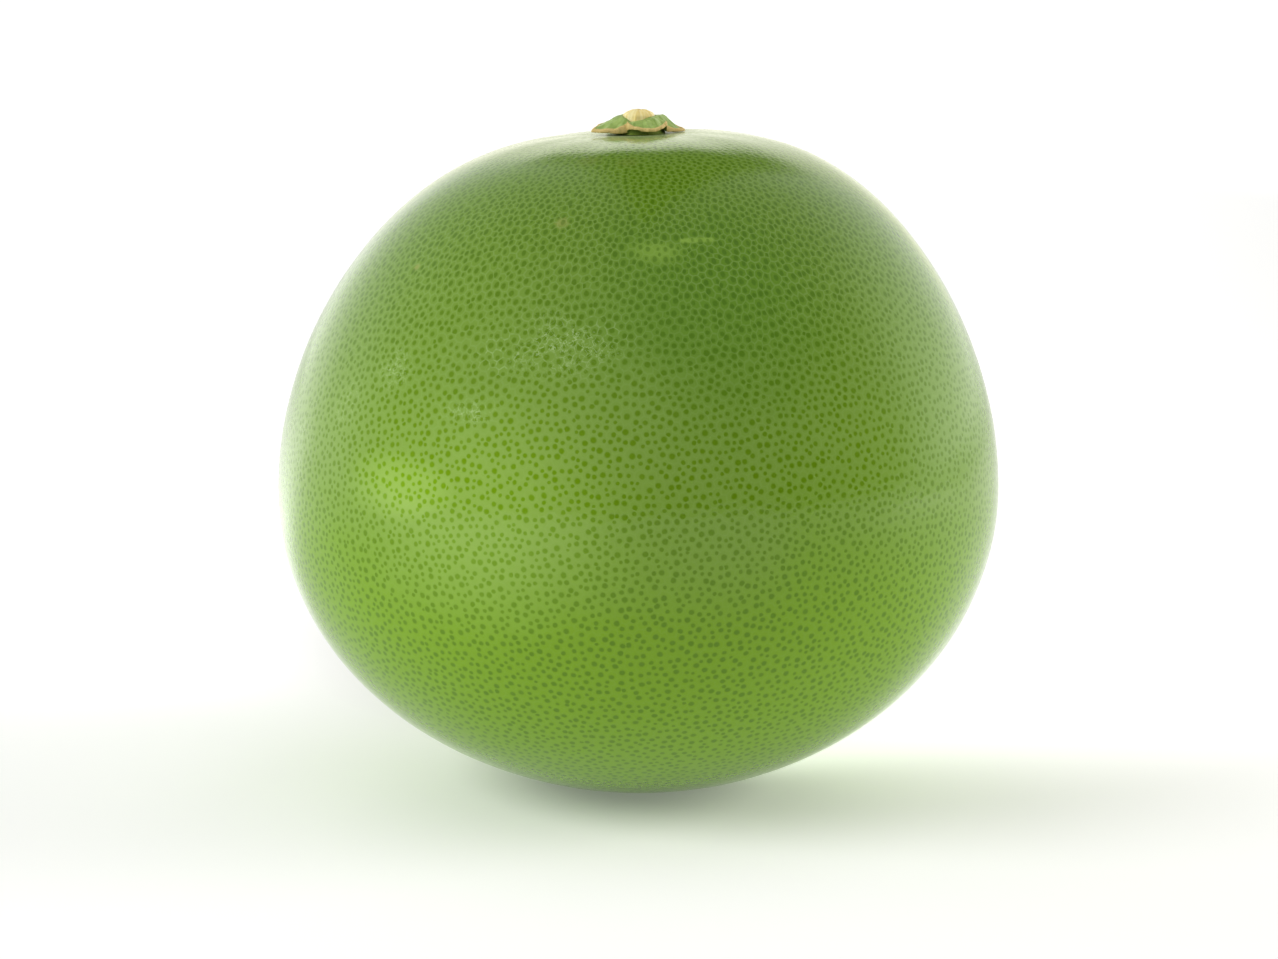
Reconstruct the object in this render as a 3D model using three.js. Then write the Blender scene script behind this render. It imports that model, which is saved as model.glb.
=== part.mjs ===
// A whole pomelo standing on its blossom end, in three pieces: the fruit itself, the
// calyx (the ring of sepals left round the stalk) on its crown, and the stub of the cut
// stalk in the middle of the calyx.
// Units are millimetres and +Z is up. The origin is the middle of the small flat spot
// that the fruit stands on, and +X is the side with the fuller shoulder.
import * as THREE from "three";
import { mergeVertices } from "three/addons/utils/BufferGeometryUtils.js";

// ---- driving dimensions -------------------------------------------------------------

const fruit = {
  equatorRadius: 82.5, // half the width across the widest section
  crownRise: 89, // from the widest section to the stem end, before it flattens
  crownPower: 1.94, // exponent of the upper half's superellipse, 2 being an ellipse
  baseDrop: 69.5, // from the widest section to the blossom end, before it flattens
  basePower: 2, // exponent of the lower half's superellipse
  crownFlattening: { depth: 7.4, reach: 34 }, // the broad flat top
  stemDimple: { depth: 0.6, reach: 9 }, // the hollow that the calyx sits in
  crownLean: 0.01, // how much fuller the shoulder is towards +X, as a share
  bellyLean: -0.004, // the same for the part just below the widest section
  bellyLeanAngle: THREE.MathUtils.degToRad(106), // where on the side that lean is largest
  bellyLeanSpread: THREE.MathUtils.degToRad(28),
  lumps: [
    // slow swellings that keep it from being truly round: share, waves round it, phase
    { share: 0.0022, waves: 2, phase: 0.9 },
    { share: 0.0016, waves: 3, phase: -1.1 },
    { share: 0.001, waves: 5, phase: 2.3 },
  ],
  ribs: { depth: 0.22, count: 11, reach: 21 }, // faint furrows that run out from the stem
  meridians: 88, // vertices round one level ring
  levels: 48, // rings from pole to pole
  flatLevels: 3, // of those, the lowest ones that lie on the flat spot
};

const calyx = {
  height: 4.4, // its highest part, round the stalk, above the fruit's skin there
  neckRadius: 5.8, // the disc that joins it to the fruit
  neckFlare: 0.25,
  collarRadius: 4.1, // where the sepals start to fall away from the stalk
  sinusRadius: 6.2, // how far out the notches between sepals are
  sinusHeight: 3.2,
  notchDepth: 0.8, // how far the collar dips at a notch
  notchShare: 0.5, // how much of a sepal's width that dip takes
  fallPower: 1.15, // how the top bends down towards a sepal's tip, 1 being straight
  shoulder: { from: 0.1, to: 0.8 }, // where the top of a humped sepal drops, on the way out
  thickness: { middle: 1.25, edge: 0.8 },
  socketRadius: 4.0, // the hollow that the stalk stands in
  socketDepth: 1.3,
  sepals: [
    // degrees round from +X, mm from the axis to the tip, height of the tip's upper face,
    // how drawn out the tip is, 1 having straight sides, and how humped the top is
    { towards: 200, reach: 11.6, tipHeight: 1.05, halfWidth: 46, point: 1.3, hump: 0 },
    { towards: 291, reach: 8.9, tipHeight: 2.2, halfWidth: 47, point: 0.7, hump: 0.4 },
    { towards: 5, reach: 10.4, tipHeight: 1.05, halfWidth: 40, point: 1.3, hump: 1 },
    { towards: 70, reach: 10.0, tipHeight: 1.4, halfWidth: 38, point: 1.05, hump: 0.7 },
    { towards: 134, reach: 10.6, tipHeight: 1.2, halfWidth: 38, point: 1.2, hump: 0.3 },
  ],
  meridians: 120,
  topRings: 8,
  underRings: 4,
};

const stalk = {
  radius: 3.55,
  topHeight: 5.8, // the top of its weathered end above the fruit's skin at the axis
  domeHeight: 1.7, // the rounded part of that
  domePower: 2.2, // exponent of the dome's superellipse, 2 being an ellipse
  outOfRound: 0.04, // share by which it is wider one way than the other
  meridians: 40,
  domeRings: 6,
};

const gap = 0.3; // air between neighbouring pieces

// ---- the fruit's skin ---------------------------------------------------------------

/** Distance from the fruit's middle to an undented skin, down by `polar` from straight up. */
function bareRadius(polar) {
  const up = Math.cos(polar) > 0;
  const height = up ? fruit.crownRise : fruit.baseDrop;
  const power = up ? fruit.crownPower : fruit.basePower;
  const across = Math.pow(Math.sin(polar) / fruit.equatorRadius, power);
  const along = Math.pow(Math.abs(Math.cos(polar)) / height, power);
  return Math.pow(across + along, -1 / power);
}

/** The share by which the skin stands out of a body of revolution, in that direction. */
function swelling(polar, azimuth) {
  const s = Math.sin(polar);
  const c = Math.cos(polar);
  const crownShare = c > 0 ? (s * c ** 3) / (0.5 * 0.75 ** 1.5) : 0; // 1 at 30 degrees
  const offBelly = (polar - fruit.bellyLeanAngle) / fruit.bellyLeanSpread;
  const bellyShare = s * Math.exp(-offBelly * offBelly);
  const lean = fruit.crownLean * crownShare + fruit.bellyLean * bellyShare;
  const lumps = fruit.lumps.reduce(
    (sum, l) => sum + l.share * s ** l.waves * Math.cos(l.waves * azimuth + l.phase),
    0,
  );
  return lean * Math.cos(azimuth) + lumps;
}

/** A point of the skin, with the fruit's middle at the origin. */
function skinPoint(polar, azimuth) {
  const radius = bareRadius(polar) * (1 + swelling(polar, azimuth));
  const out = radius * Math.sin(polar);
  let up = radius * Math.cos(polar);
  if (up > 0) {
    const { crownFlattening: flat, stemDimple: dimple, ribs } = fruit;
    up -= flat.depth * Math.exp(-((out / flat.reach) ** 2));
    up -= dimple.depth * Math.exp(-((out / dimple.reach) ** 2));
    const ribShare = (out / ribs.reach) ** 2 * Math.exp(1 - (out / ribs.reach) ** 2);
    up -= ribs.depth * ribShare * 0.5 * (1 - Math.cos(ribs.count * azimuth));
  }
  return new THREE.Vector3(out * Math.cos(azimuth), out * Math.sin(azimuth), up);
}

const levelAngle = Math.PI / fruit.levels;
const flatAngle = Math.PI - fruit.flatLevels * levelAngle;
/** Height of the widest section: the flat spot's rim is at height 0. */
const equatorHeight = -bareRadius(flatAngle) * Math.cos(flatAngle);
/** Height of the skin, in the part's frame, `out` from the axis near the stem. */
const skinHeight = (out) =>
  equatorHeight + skinPoint(Math.atan2(out, fruit.crownRise), 0).z;

// ---- shared geometry ----------------------------------------------------------------

/**
 * A closed surface through rings of points. The first and last rings are single points,
 * and each ring between has one point for each meridian.
 */
function closedSurface(rings) {
  const starts = [];
  const places = [];
  for (const ring of rings) {
    starts.push(places.length / 3);
    ring.forEach((p) => places.push(p.x, p.y, p.z));
  }
  const triangles = [];
  for (let r = 1; r < rings.length; r++) {
    const above = rings[r - 1];
    const below = rings[r];
    const count = Math.max(above.length, below.length);
    for (let i = 0; i < count; i++) {
      const j = (i + 1) % count;
      const [a, b] = above.length > 1 ? [i, j] : [0, 0];
      const [c, d] = below.length > 1 ? [i, j] : [0, 0];
      const [A, B] = [starts[r - 1] + a, starts[r - 1] + b];
      const [C, D] = [starts[r] + c, starts[r] + d];
      if (A !== B) triangles.push(A, C, B);
      if (C !== D) triangles.push(B, C, D);
    }
  }
  const geometry = new THREE.BufferGeometry();
  geometry.setAttribute("position", new THREE.Float32BufferAttribute(places, 3));
  geometry.setIndex(triangles);
  geometry.computeVertexNormals();
  return geometry;
}

/** One point for each of `count` meridians, from place(azimuth) giving [out, height]. */
function ringOf(count, place) {
  return Array.from({ length: count }, (_, i) => {
    const azimuth = (2 * Math.PI * i) / count;
    const [out, height] = place(azimuth);
    return new THREE.Vector3(out * Math.cos(azimuth), out * Math.sin(azimuth), height);
  });
}

/** A single point on the axis, which closes a surface there. */
const poleAt = (height) => [new THREE.Vector3(0, 0, height)];

// ---- the three pieces ---------------------------------------------------------------

/** The fruit: one solid whose lowest rings lie on the flat spot. */
function fruitGeometry() {
  const geometry = new THREE.SphereGeometry(1, fruit.meridians, fruit.levels);
  geometry.rotateX(Math.PI / 2);
  const place = geometry.getAttribute("position");
  const direction = new THREE.Vector3();
  for (let i = 0; i < place.count; i++) {
    direction.fromBufferAttribute(place, i).normalize();
    const polar = Math.acos(THREE.MathUtils.clamp(direction.z, -1, 1));
    const point = skinPoint(polar, Math.atan2(direction.y, direction.x));
    const onFlatSpot = polar > flatAngle - levelAngle / 2;
    const height = onFlatSpot ? 0 : Math.max(0, point.z + equatorHeight);
    place.setXYZ(i, point.x, point.y, height);
  }
  geometry.deleteAttribute("normal");
  geometry.deleteAttribute("uv");
  const merged = mergeVertices(geometry, 1e-3);
  merged.computeVertexNormals();
  return merged;
}

/** 1 on a sepal's midline, falling to 0 at its side, at this azimuth in radians. */
function sepalShare(sepal, azimuth) {
  const turn = azimuth - THREE.MathUtils.degToRad(sepal.towards);
  const off = Math.abs(Math.atan2(Math.sin(turn), Math.cos(turn)));
  const side = off / THREE.MathUtils.degToRad(sepal.halfWidth);
  return side < 1 ? (1 - side) ** sepal.point : 0;
}

/**
 * The calyx's rim at this azimuth: how far out it is, how high its upper face is, how near
 * it is to a sepal's midline and how humped the top is there.
 */
function calyxRim(azimuth) {
  const mix = THREE.MathUtils.lerp;
  const rim = { out: calyx.sinusRadius, height: calyx.sinusHeight, share: 0, hump: 0 };
  for (const sepal of calyx.sepals) {
    const share = sepalShare(sepal, azimuth);
    const reach = mix(calyx.sinusRadius, sepal.reach, share);
    if (reach > rim.out) {
      rim.out = reach;
      rim.height = mix(calyx.sinusHeight, sepal.tipHeight, share);
      rim.share = Math.min(1, share / calyx.notchShare);
      rim.hump = sepal.hump * rim.share;
    }
  }
  return rim;
}

/** Height of the calyx's upper face above the skin, `out` from the axis. */
function calyxTop(out, azimuth) {
  const { lerp, clamp, smoothstep } = THREE.MathUtils;
  const rim = calyxRim(azimuth);
  const along = clamp((out - calyx.collarRadius) / (rim.out - calyx.collarRadius), 0, 1);
  const humped = smoothstep(along, calyx.shoulder.from, calyx.shoulder.to);
  const drop = lerp(along ** calyx.fallPower, humped, rim.hump);
  const collar = calyx.height - calyx.notchDepth * (1 - rim.share) ** 2;
  return lerp(collar, rim.height, drop);
}

/** The calyx: a star of sepals on a short neck, hollowed for the stalk. */
function calyxGeometry() {
  const mix = THREE.MathUtils.lerp;
  const base = skinHeight(calyx.neckRadius) + gap;
  const skin = skinHeight(0);
  const ring = (place) => ringOf(calyx.meridians, place);
  const floor = skin + calyx.height - calyx.socketDepth;
  const socket = calyx.socketRadius;
  const rings = [poleAt(floor), ring(() => [socket, floor])];
  for (let i = 0; i < calyx.topRings; i++) {
    const share = i / (calyx.topRings - 1);
    rings.push(
      ring((azimuth) => {
        const edge = calyxRim(azimuth).out - calyx.thickness.edge / 4;
        const out = mix(socket, edge, share);
        return [out, skin + calyxTop(out, azimuth)];
      }),
    );
  }
  rings.push(
    ring((azimuth) => {
      const { out } = calyxRim(azimuth);
      return [out, skin + calyxTop(out, azimuth) - calyx.thickness.edge / 2];
    }),
  );
  for (let i = 0; i < calyx.underRings; i++) {
    const share = i / (calyx.underRings - 1);
    const thick = mix(calyx.thickness.edge, calyx.thickness.middle, share);
    rings.push(
      ring((azimuth) => {
        const edge = calyxRim(azimuth).out - calyx.thickness.edge / 4;
        const out = mix(edge, calyx.neckRadius, share);
        const lowest = base + gap * (1 - share);
        return [out, Math.max(lowest, skin + calyxTop(out, azimuth) - thick)];
      }),
    );
  }
  rings.push(ring(() => [calyx.neckRadius + calyx.neckFlare, base]));
  rings.push(poleAt(base));
  return closedSurface(rings);
}

/** The stub of the stalk: a short post with a weathered, rounded end, in the calyx. */
function stalkGeometry() {
  const skin = skinHeight(0);
  const foot = skin + calyx.height - calyx.socketDepth + gap;
  const top = skin + stalk.topHeight;
  const ring = (out, height) =>
    ringOf(stalk.meridians, (azimuth) => [
      out * (1 + stalk.outOfRound * Math.cos(2 * azimuth)),
      height,
    ]);
  const rings = [poleAt(top)];
  for (let i = 1; i <= stalk.domeRings; i++) {
    const turn = (Math.PI / 2) * (i / stalk.domeRings);
    const out = stalk.radius * Math.sin(turn) ** (2 / stalk.domePower);
    const down = 1 - Math.max(0, Math.cos(turn)) ** (2 / stalk.domePower);
    rings.push(ring(out, top - stalk.domeHeight * down));
  }
  rings.push(ring(stalk.radius, foot), poleAt(foot));
  return closedSurface(rings);
}

// ---- assembly -----------------------------------------------------------------------

/** A named sub-part with its own plain finish. */
function piece(name, geometry, colour, roughness) {
  const material = new THREE.MeshStandardMaterial({ color: colour, roughness, metalness: 0 });
  const mesh = new THREE.Mesh(geometry, material);
  mesh.name = name;
  return mesh;
}

const pomelo = new THREE.Group();
pomelo.name = "pomelo";
pomelo.add(
  piece("fruit", fruitGeometry(), 0x7a9f3f, 0.42),
  piece("calyx", calyxGeometry(), 0x8c9a55, 0.6),
  piece("stalk", stalkGeometry(), 0xc9b27a, 0.85),
);

export default pomelo;
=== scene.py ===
"""Dresses a whole pomelo standing on its blossom end.

Three pieces are made round the frame: the rind with its thousands of oil glands, the calyx
on the crown and the stub of the cut stalk. A plain studio is built round them.
"""

import logging
import math
from dataclasses import dataclass, fields, replace
from enum import Enum
from typing import Any, Callable, Sequence

import bpy
import numpy as np
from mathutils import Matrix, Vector, noise
from mathutils.geometry import delaunay_2d_cdt


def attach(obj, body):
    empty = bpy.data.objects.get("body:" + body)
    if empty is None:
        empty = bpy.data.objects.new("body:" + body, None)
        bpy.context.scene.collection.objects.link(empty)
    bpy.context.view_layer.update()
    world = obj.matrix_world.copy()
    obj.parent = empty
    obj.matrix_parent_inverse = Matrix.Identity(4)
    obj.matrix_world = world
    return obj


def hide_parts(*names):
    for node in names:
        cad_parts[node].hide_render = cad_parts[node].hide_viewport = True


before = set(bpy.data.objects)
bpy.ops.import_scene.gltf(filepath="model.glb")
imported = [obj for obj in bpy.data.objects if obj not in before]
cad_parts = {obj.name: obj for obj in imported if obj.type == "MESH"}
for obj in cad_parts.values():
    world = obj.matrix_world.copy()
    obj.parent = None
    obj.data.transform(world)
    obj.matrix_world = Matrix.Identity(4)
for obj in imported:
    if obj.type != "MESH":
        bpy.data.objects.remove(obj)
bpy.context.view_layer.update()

LOG = logging.getLogger("pomelo")
MM = 0.001
VIEW_TRANSFORM = "Standard"
Colour = tuple[float, float, float, float]


def srgb(red: int, green: int, blue: int) -> Colour:
    """Turns a display colour into the linear one that shaders use.

    Args:
        red: Red, 0 to 255.
        green: Green, 0 to 255.
        blue: Blue, 0 to 255.

    Returns:
        The linear colour with full alpha.
    """
    toe, slope, offset, power = 0.04045, 12.92, 0.055, 2.4

    def linear(channel: int) -> float:
        """One channel, made linear."""
        share = channel / 255
        return share / slope if share <= toe else ((share + offset) / (1 + offset)) ** power

    return (linear(red), linear(green), linear(blue), 1.0)


# ---- node trees written as expressions ------------------------------------------------


class Value:
    """A number or vector that varies over a surface: one socket, with arithmetic."""

    def __init__(self, graph: "Graph", socket: bpy.types.NodeSocket) -> None:
        """Wraps a socket.

        Args:
            graph: The tree that the socket is in.
            socket: An output of one of its nodes.
        """
        self.graph = graph
        self.socket = socket

    def __add__(self, other: Any) -> "Value":
        """self + other."""
        return self.graph.math("ADD", self, other)

    __radd__ = __add__

    def __sub__(self, other: Any) -> "Value":
        """self - other."""
        return self.graph.math("SUBTRACT", self, other)

    def __rsub__(self, other: Any) -> "Value":
        """other - self."""
        return self.graph.math("SUBTRACT", other, self)

    def __neg__(self) -> "Value":
        """self with its sign changed."""
        return 0.0 - self

    def __mul__(self, other: Any) -> "Value":
        """self * other."""
        return self.graph.math("MULTIPLY", self, other)

    __rmul__ = __mul__

    def __truediv__(self, other: Any) -> "Value":
        """self / other."""
        return self.graph.math("DIVIDE", self, other)

    def __rtruediv__(self, other: Any) -> "Value":
        """other / self."""
        return self.graph.math("DIVIDE", other, self)

    def __pow__(self, other: Any) -> "Value":
        """self to the power of other."""
        return self.graph.math("POWER", self, other)

    def __rpow__(self, other: Any) -> "Value":
        """other to the power of self."""
        return self.graph.math("POWER", other, self)

    def length(self) -> "Value":
        """The length of a vector."""
        return self.graph.math("LENGTH", self)

    def dot(self, other: Any) -> "Value":
        """The dot product of two vectors."""
        return self.graph.math("DOT_PRODUCT", self, other)

    def unit(self) -> "Value":
        """A vector's direction."""
        return self.graph.math("NORMALIZE", self)

    def parts(self) -> tuple["Value", "Value", "Value"]:
        """A vector's x, y and z."""
        split = self.graph.node("ShaderNodeSeparateXYZ", {}, {"Vector": self})
        x, y, z = (Value(self.graph, socket) for socket in split.outputs)
        return x, y, z


Number = float | np.ndarray | Value
Sockets = dict[str | int, Any]


@dataclass(frozen=True)
class Cloud:
    """Smooth noise: the size of its features in metres, and how it is layered."""

    size: float
    detail: float = 2.0
    rough: float = 0.5
    warp: float = 0.0


class Graph:
    """A node tree under construction."""

    # The output of a Vector Math node that holds the result, where that is a number.
    NUMBER_OUTPUTS = {"LENGTH": 1, "DOT_PRODUCT": 1}

    def __init__(self, tree: bpy.types.NodeTree) -> None:
        """Wraps a tree.

        Args:
            tree: The tree that nodes are added to.
        """
        self.tree = tree

    def node(self, kind: str, settings: dict[str, Any], sockets: Sockets) -> bpy.types.Node:
        """Adds a node.

        Args:
            kind: The node's type.
            settings: Its properties, set first.
            sockets: Values or links, by the socket's identifier, name or number.

        Returns:
            The node.
        """
        made = self.tree.nodes.new(kind)
        for name, value in settings.items():
            setattr(made, name, value)
        for name, value in sockets.items():
            socket = self._find(made.inputs, name)
            if isinstance(value, Value):
                self.tree.links.new(value.socket, socket)
            elif isinstance(value, bpy.types.NodeSocket):
                self.tree.links.new(value, socket)
            else:
                socket.default_value = value
        return made

    def value(
        self, kind: str, settings: dict[str, Any], sockets: Sockets, output: str | int = 0
    ) -> Value:
        """Adds a node and returns one of its outputs.

        Args:
            kind: The node's type.
            settings: Its properties.
            sockets: Values or links of its sockets.
            output: The output's identifier, name or number.

        Returns:
            The output.
        """
        made = self.node(kind, settings, sockets)
        return Value(self, self._find(made.outputs, output))

    def math(self, operation: str, *terms: Any) -> Value:
        """Adds a Math node, or a Vector Math node where a term is a vector.

        Args:
            operation: The operation, such as ADD.
            *terms: Values or numbers.

        Returns:
            The result.
        """
        vector = any(self._is_vector(term) for term in terms)
        kind = "ShaderNodeVectorMath" if vector else "ShaderNodeMath"
        output = self.NUMBER_OUTPUTS.get(operation, 0) if vector else 0
        sockets = {}
        for place, term in enumerate(terms):
            plain = vector and isinstance(term, (int, float))
            sockets[place] = (term, term, term) if plain else term
        return self.value(kind, {"operation": operation}, sockets, output)

    def mix(self, share: Any, first: Any, second: Any) -> Value:
        """Mixes two colours.

        Args:
            share: 0 for the first colour, 1 for the second.
            first: A colour or a link.
            second: A colour or a link.

        Returns:
            The mixed colour.
        """
        sockets = {"Factor_Float": share, "A_Color": first, "B_Color": second}
        return self.value("ShaderNodeMix", {"data_type": "RGBA"}, sockets, "Result_Color")

    def noise(self, place: Value, cloud: Cloud, output: str | int = 0) -> Value:
        """Smooth noise from 0 to 1.

        Args:
            place: Where it is read.
            cloud: What it is like.
            output: "Color" for a vector of three noises.

        Returns:
            The noise.
        """
        sockets = {
            "Vector": place,
            "Scale": 1 / cloud.size,
            "Detail": cloud.detail,
            "Roughness": cloud.rough,
            "Distortion": cloud.warp,
        }
        return self.value("ShaderNodeTexNoise", {}, sockets, output)

    def vector(self, x: Any, y: Any, z: Any) -> Value:
        """A vector from its three parts."""
        return self.value("ShaderNodeCombineXYZ", {}, {"X": x, "Y": y, "Z": z})

    @staticmethod
    def _is_vector(term: Any) -> bool:
        """Whether a term is a vector or a colour."""
        if isinstance(term, Value):
            return term.socket.type in ("VECTOR", "RGBA")
        return isinstance(term, (tuple, list, Vector))

    @staticmethod
    def _find(sockets: Any, name: str | int) -> bpy.types.NodeSocket:
        """Finds a socket.

        Args:
            sockets: A node's inputs or outputs.
            name: The socket's number, identifier or name.

        Returns:
            The socket.
        """
        if isinstance(name, int):
            return sockets[name]
        for socket in sockets:
            if socket.identifier == name:
                return socket
        shown = [socket for socket in sockets if socket.name == name and socket.enabled]
        return shown[0]


class MaterialTree(Graph):
    """A material under construction, and the place on the piece that its patterns read."""

    def __init__(self, name: str) -> None:
        """Starts a material.

        Args:
            name: What the material is called.
        """
        self.material = bpy.data.materials.new(name)
        self.material.use_nodes = True
        super().__init__(self.material.node_tree)
        self.tree.nodes.clear()
        self.place = self.value("ShaderNodeTexCoord", {}, {}, "Object")

    def stored(self, name: str, output: str = "Fac") -> Value:
        """A value kept on the mesh."""
        return self.value("ShaderNodeAttribute", {"attribute_name": name}, {}, output)

    def bump(self, relief: Value, strength: float = 1.0) -> Value:
        """The shading of a relief that is given in metres."""
        sockets = {"Strength": strength, "Distance": 1.0, "Height": relief}
        return self.value("ShaderNodeBump", {}, sockets, "Normal")

    def finished(self, sockets: Sockets) -> bpy.types.Material:
        """Ends the material in its shader.

        Args:
            sockets: Values or links of the shader's sockets.

        Returns:
            The material.
        """
        shader = self.node("ShaderNodeBsdfPrincipled", {}, sockets)
        self.node("ShaderNodeOutputMaterial", {}, {"Surface": shader.outputs[0]})
        return self.material


def either(operation: str, plain: Callable[..., Any], *terms: Number) -> Number:
    """Works on sockets through a Math node, and on plain numbers through a function.

    Args:
        operation: The node's operation.
        plain: The function.
        *terms: Sockets or numbers.

    Returns:
        The result.
    """
    for term in terms:
        if isinstance(term, Value):
            return term.graph.math(operation, *terms)
    return plain(*terms)


def sine(angle: Number) -> Number:
    """The sine of an angle in radians."""
    return either("SINE", np.sin, angle)


def cosine(angle: Number) -> Number:
    """The cosine of an angle in radians."""
    return either("COSINE", np.cos, angle)


def exponential(power: Number) -> Number:
    """e to a power."""
    return either("EXPONENT", np.exp, power)


def above(first: Number, second: Number) -> Number:
    """1 where the first is greater than the second, and 0 elsewhere."""
    return either("GREATER_THAN", lambda a, b: np.where(a > b, 1.0, 0.0), first, second)


def larger(first: Number, second: Number) -> Number:
    """The larger of two."""
    return either("MAXIMUM", np.maximum, first, second)


def smaller(first: Number, second: Number) -> Number:
    """The smaller of two."""
    return either("MINIMUM", np.minimum, first, second)


def size_of(number: Number) -> Number:
    """A number without its sign."""
    return either("ABSOLUTE", np.abs, number)


def between(first: Number, second: Number, share: Number) -> Number:
    """A number from first to second, by a share from 0 to 1."""
    return first + (second - first) * share


def step(number: Number, low: float, high: float) -> Number:
    """0 below low and 1 above high, with a smooth change between.

    Args:
        number: What is compared.
        low: Where the change starts.
        high: Where it ends. It may be less than low, which turns the step round.

    Returns:
        The share.
    """
    share = larger(0.0, smaller(1.0, (number - low) * (1 / (high - low))))
    return share * share * (3.0 - 2.0 * share)


def bell(distance: Number, reach: Number) -> Number:
    """1 at no distance, falling off smoothly past reach."""
    share = distance / reach
    return exponential(-(share * share))


class Kept(Enum):
    """The type of a value that is kept on a mesh."""

    NUMBER = "FLOAT"
    VECTOR = "FLOAT_VECTOR"
    TRUTH = "BOOLEAN"


class Domain(Enum):
    """What each value that is kept on a mesh belongs to."""

    POINT = "POINT"
    FACE = "FACE"


class GeometryTree(Graph):
    """A geometry node tree with named inputs, which runs once on a mesh."""

    def __init__(self, name: str) -> None:
        """Starts a tree.

        Args:
            name: What the tree is called.
        """
        super().__init__(bpy.data.node_groups.new(name, "GeometryNodeTree"))
        self.given: dict[str, Any] = {}
        for way in ("INPUT", "OUTPUT"):
            self.tree.interface.new_socket(
                "Geometry", in_out=way, socket_type="NodeSocketGeometry"
            )
        self.entry = self.tree.nodes.new("NodeGroupInput")
        self.result = self.tree.nodes.new("NodeGroupOutput")

    def size(self, name: str, number: float, kind: str = "NodeSocketFloat") -> Value:
        """Adds a named input.

        Args:
            name: The input's name.
            number: What it is set to.
            kind: The type of socket.

        Returns:
            The input's value inside the tree.
        """
        socket = self.tree.interface.new_socket(name, in_out="INPUT", socket_type=kind)
        self.given[socket.identifier] = number
        return Value(self, self._find(self.entry.outputs, socket.identifier))

    def seed(self, number: int) -> Value:
        """Adds an input for the seed of what is random."""
        return self.size("Seed", number, "NodeSocketInt")

    def start(self) -> bpy.types.NodeSocket:
        """The mesh that the tree is run on."""
        return self.entry.outputs[0]

    def place(self) -> Value:
        """Where each point is."""
        return self.value("GeometryNodeInputPosition", {}, {})

    def move(
        self, geometry: Any, place: Value, chosen: Value | None = None
    ) -> bpy.types.NodeSocket:
        """Moves points.

        Args:
            geometry: The mesh or the points so far.
            place: Where they go.
            chosen: Which of them go there. Without it, all do.

        Returns:
            The mesh or the points.
        """
        sockets = {"Geometry": geometry, "Position": place}
        if chosen is not None:
            sockets["Selection"] = chosen
        return self.node("GeometryNodeSetPosition", {}, sockets).outputs[0]

    def store(
        self,
        geometry: Any,
        name: str,
        value: Any,
        kind: Kept = Kept.NUMBER,
        domain: Domain = Domain.POINT,
    ) -> bpy.types.NodeSocket:
        """Keeps a value on the mesh.

        Args:
            geometry: The mesh so far.
            name: The attribute's name.
            value: What is kept.
            kind: Its type.
            domain: What each value belongs to.

        Returns:
            The mesh with the attribute.
        """
        settings = {"data_type": kind.value, "domain": domain.value}
        sockets = {"Geometry": geometry, "Name": name, "Value": value}
        return self.node("GeometryNodeStoreNamedAttribute", settings, sockets).outputs[0]

    def kept(self, name: str, kind: Kept = Kept.NUMBER) -> Value:
        """The value of an attribute."""
        settings = {"data_type": kind.value}
        return self.value("GeometryNodeInputNamedAttribute", settings, {"Name": name}, "Attribute")

    def run(
        self, geometry: Any, material: bpy.types.Material | None, mesh: bpy.types.Mesh
    ) -> bpy.types.Mesh:
        """Ends the tree and runs it.

        Args:
            geometry: What the tree made.
            material: The finish that it gets, if any.
            mesh: The mesh that it is run on.

        Returns:
            The result as a plain mesh.
        """
        real = self.node("GeometryNodeRealizeInstances", {}, {"Geometry": geometry})
        sockets = {"Geometry": real.outputs[0], "Material": material}
        dressed = self.node("GeometryNodeSetMaterial", {}, sockets)
        self.tree.links.new(dressed.outputs[0], self.result.inputs[0])
        holder = bpy.data.objects.new(self.tree.name, mesh)
        bpy.context.scene.collection.objects.link(holder)
        modifier = holder.modifiers.new(self.tree.name, "NODES")
        modifier.node_group = self.tree
        for identifier, number in self.given.items():
            modifier[identifier] = number
        graph = bpy.context.evaluated_depsgraph_get()
        made = bpy.data.meshes.new_from_object(
            holder.evaluated_get(graph), preserve_all_data_layers=True, depsgraph=graph
        )
        bpy.data.objects.remove(holder)
        return made


def plain_mesh(name: str, places: np.ndarray, faces: Any) -> bpy.types.Mesh:
    """Makes a mesh.

    Args:
        name: Its name.
        places: Its vertices, one row each.
        faces: Each face's vertices by number.

    Returns:
        The mesh.
    """
    mesh = bpy.data.meshes.new(name)
    mesh.from_pydata(np.asarray(places, float).tolist(), [], faces)
    mesh.update()
    return mesh


def places_of(mesh: bpy.types.Mesh) -> np.ndarray:
    """Reads where a mesh's vertices are.

    Args:
        mesh: The mesh.

    Returns:
        One row for each vertex.
    """
    places = np.zeros(len(mesh.vertices) * 3)
    mesh.vertices.foreach_get("co", places)
    return places.reshape(-1, 3)


@dataclass
class Spot:
    """A vertex of a ringed surface, with the values that its finish reads there."""

    place: tuple[float, float, float]
    marks: dict[str, float]


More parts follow.
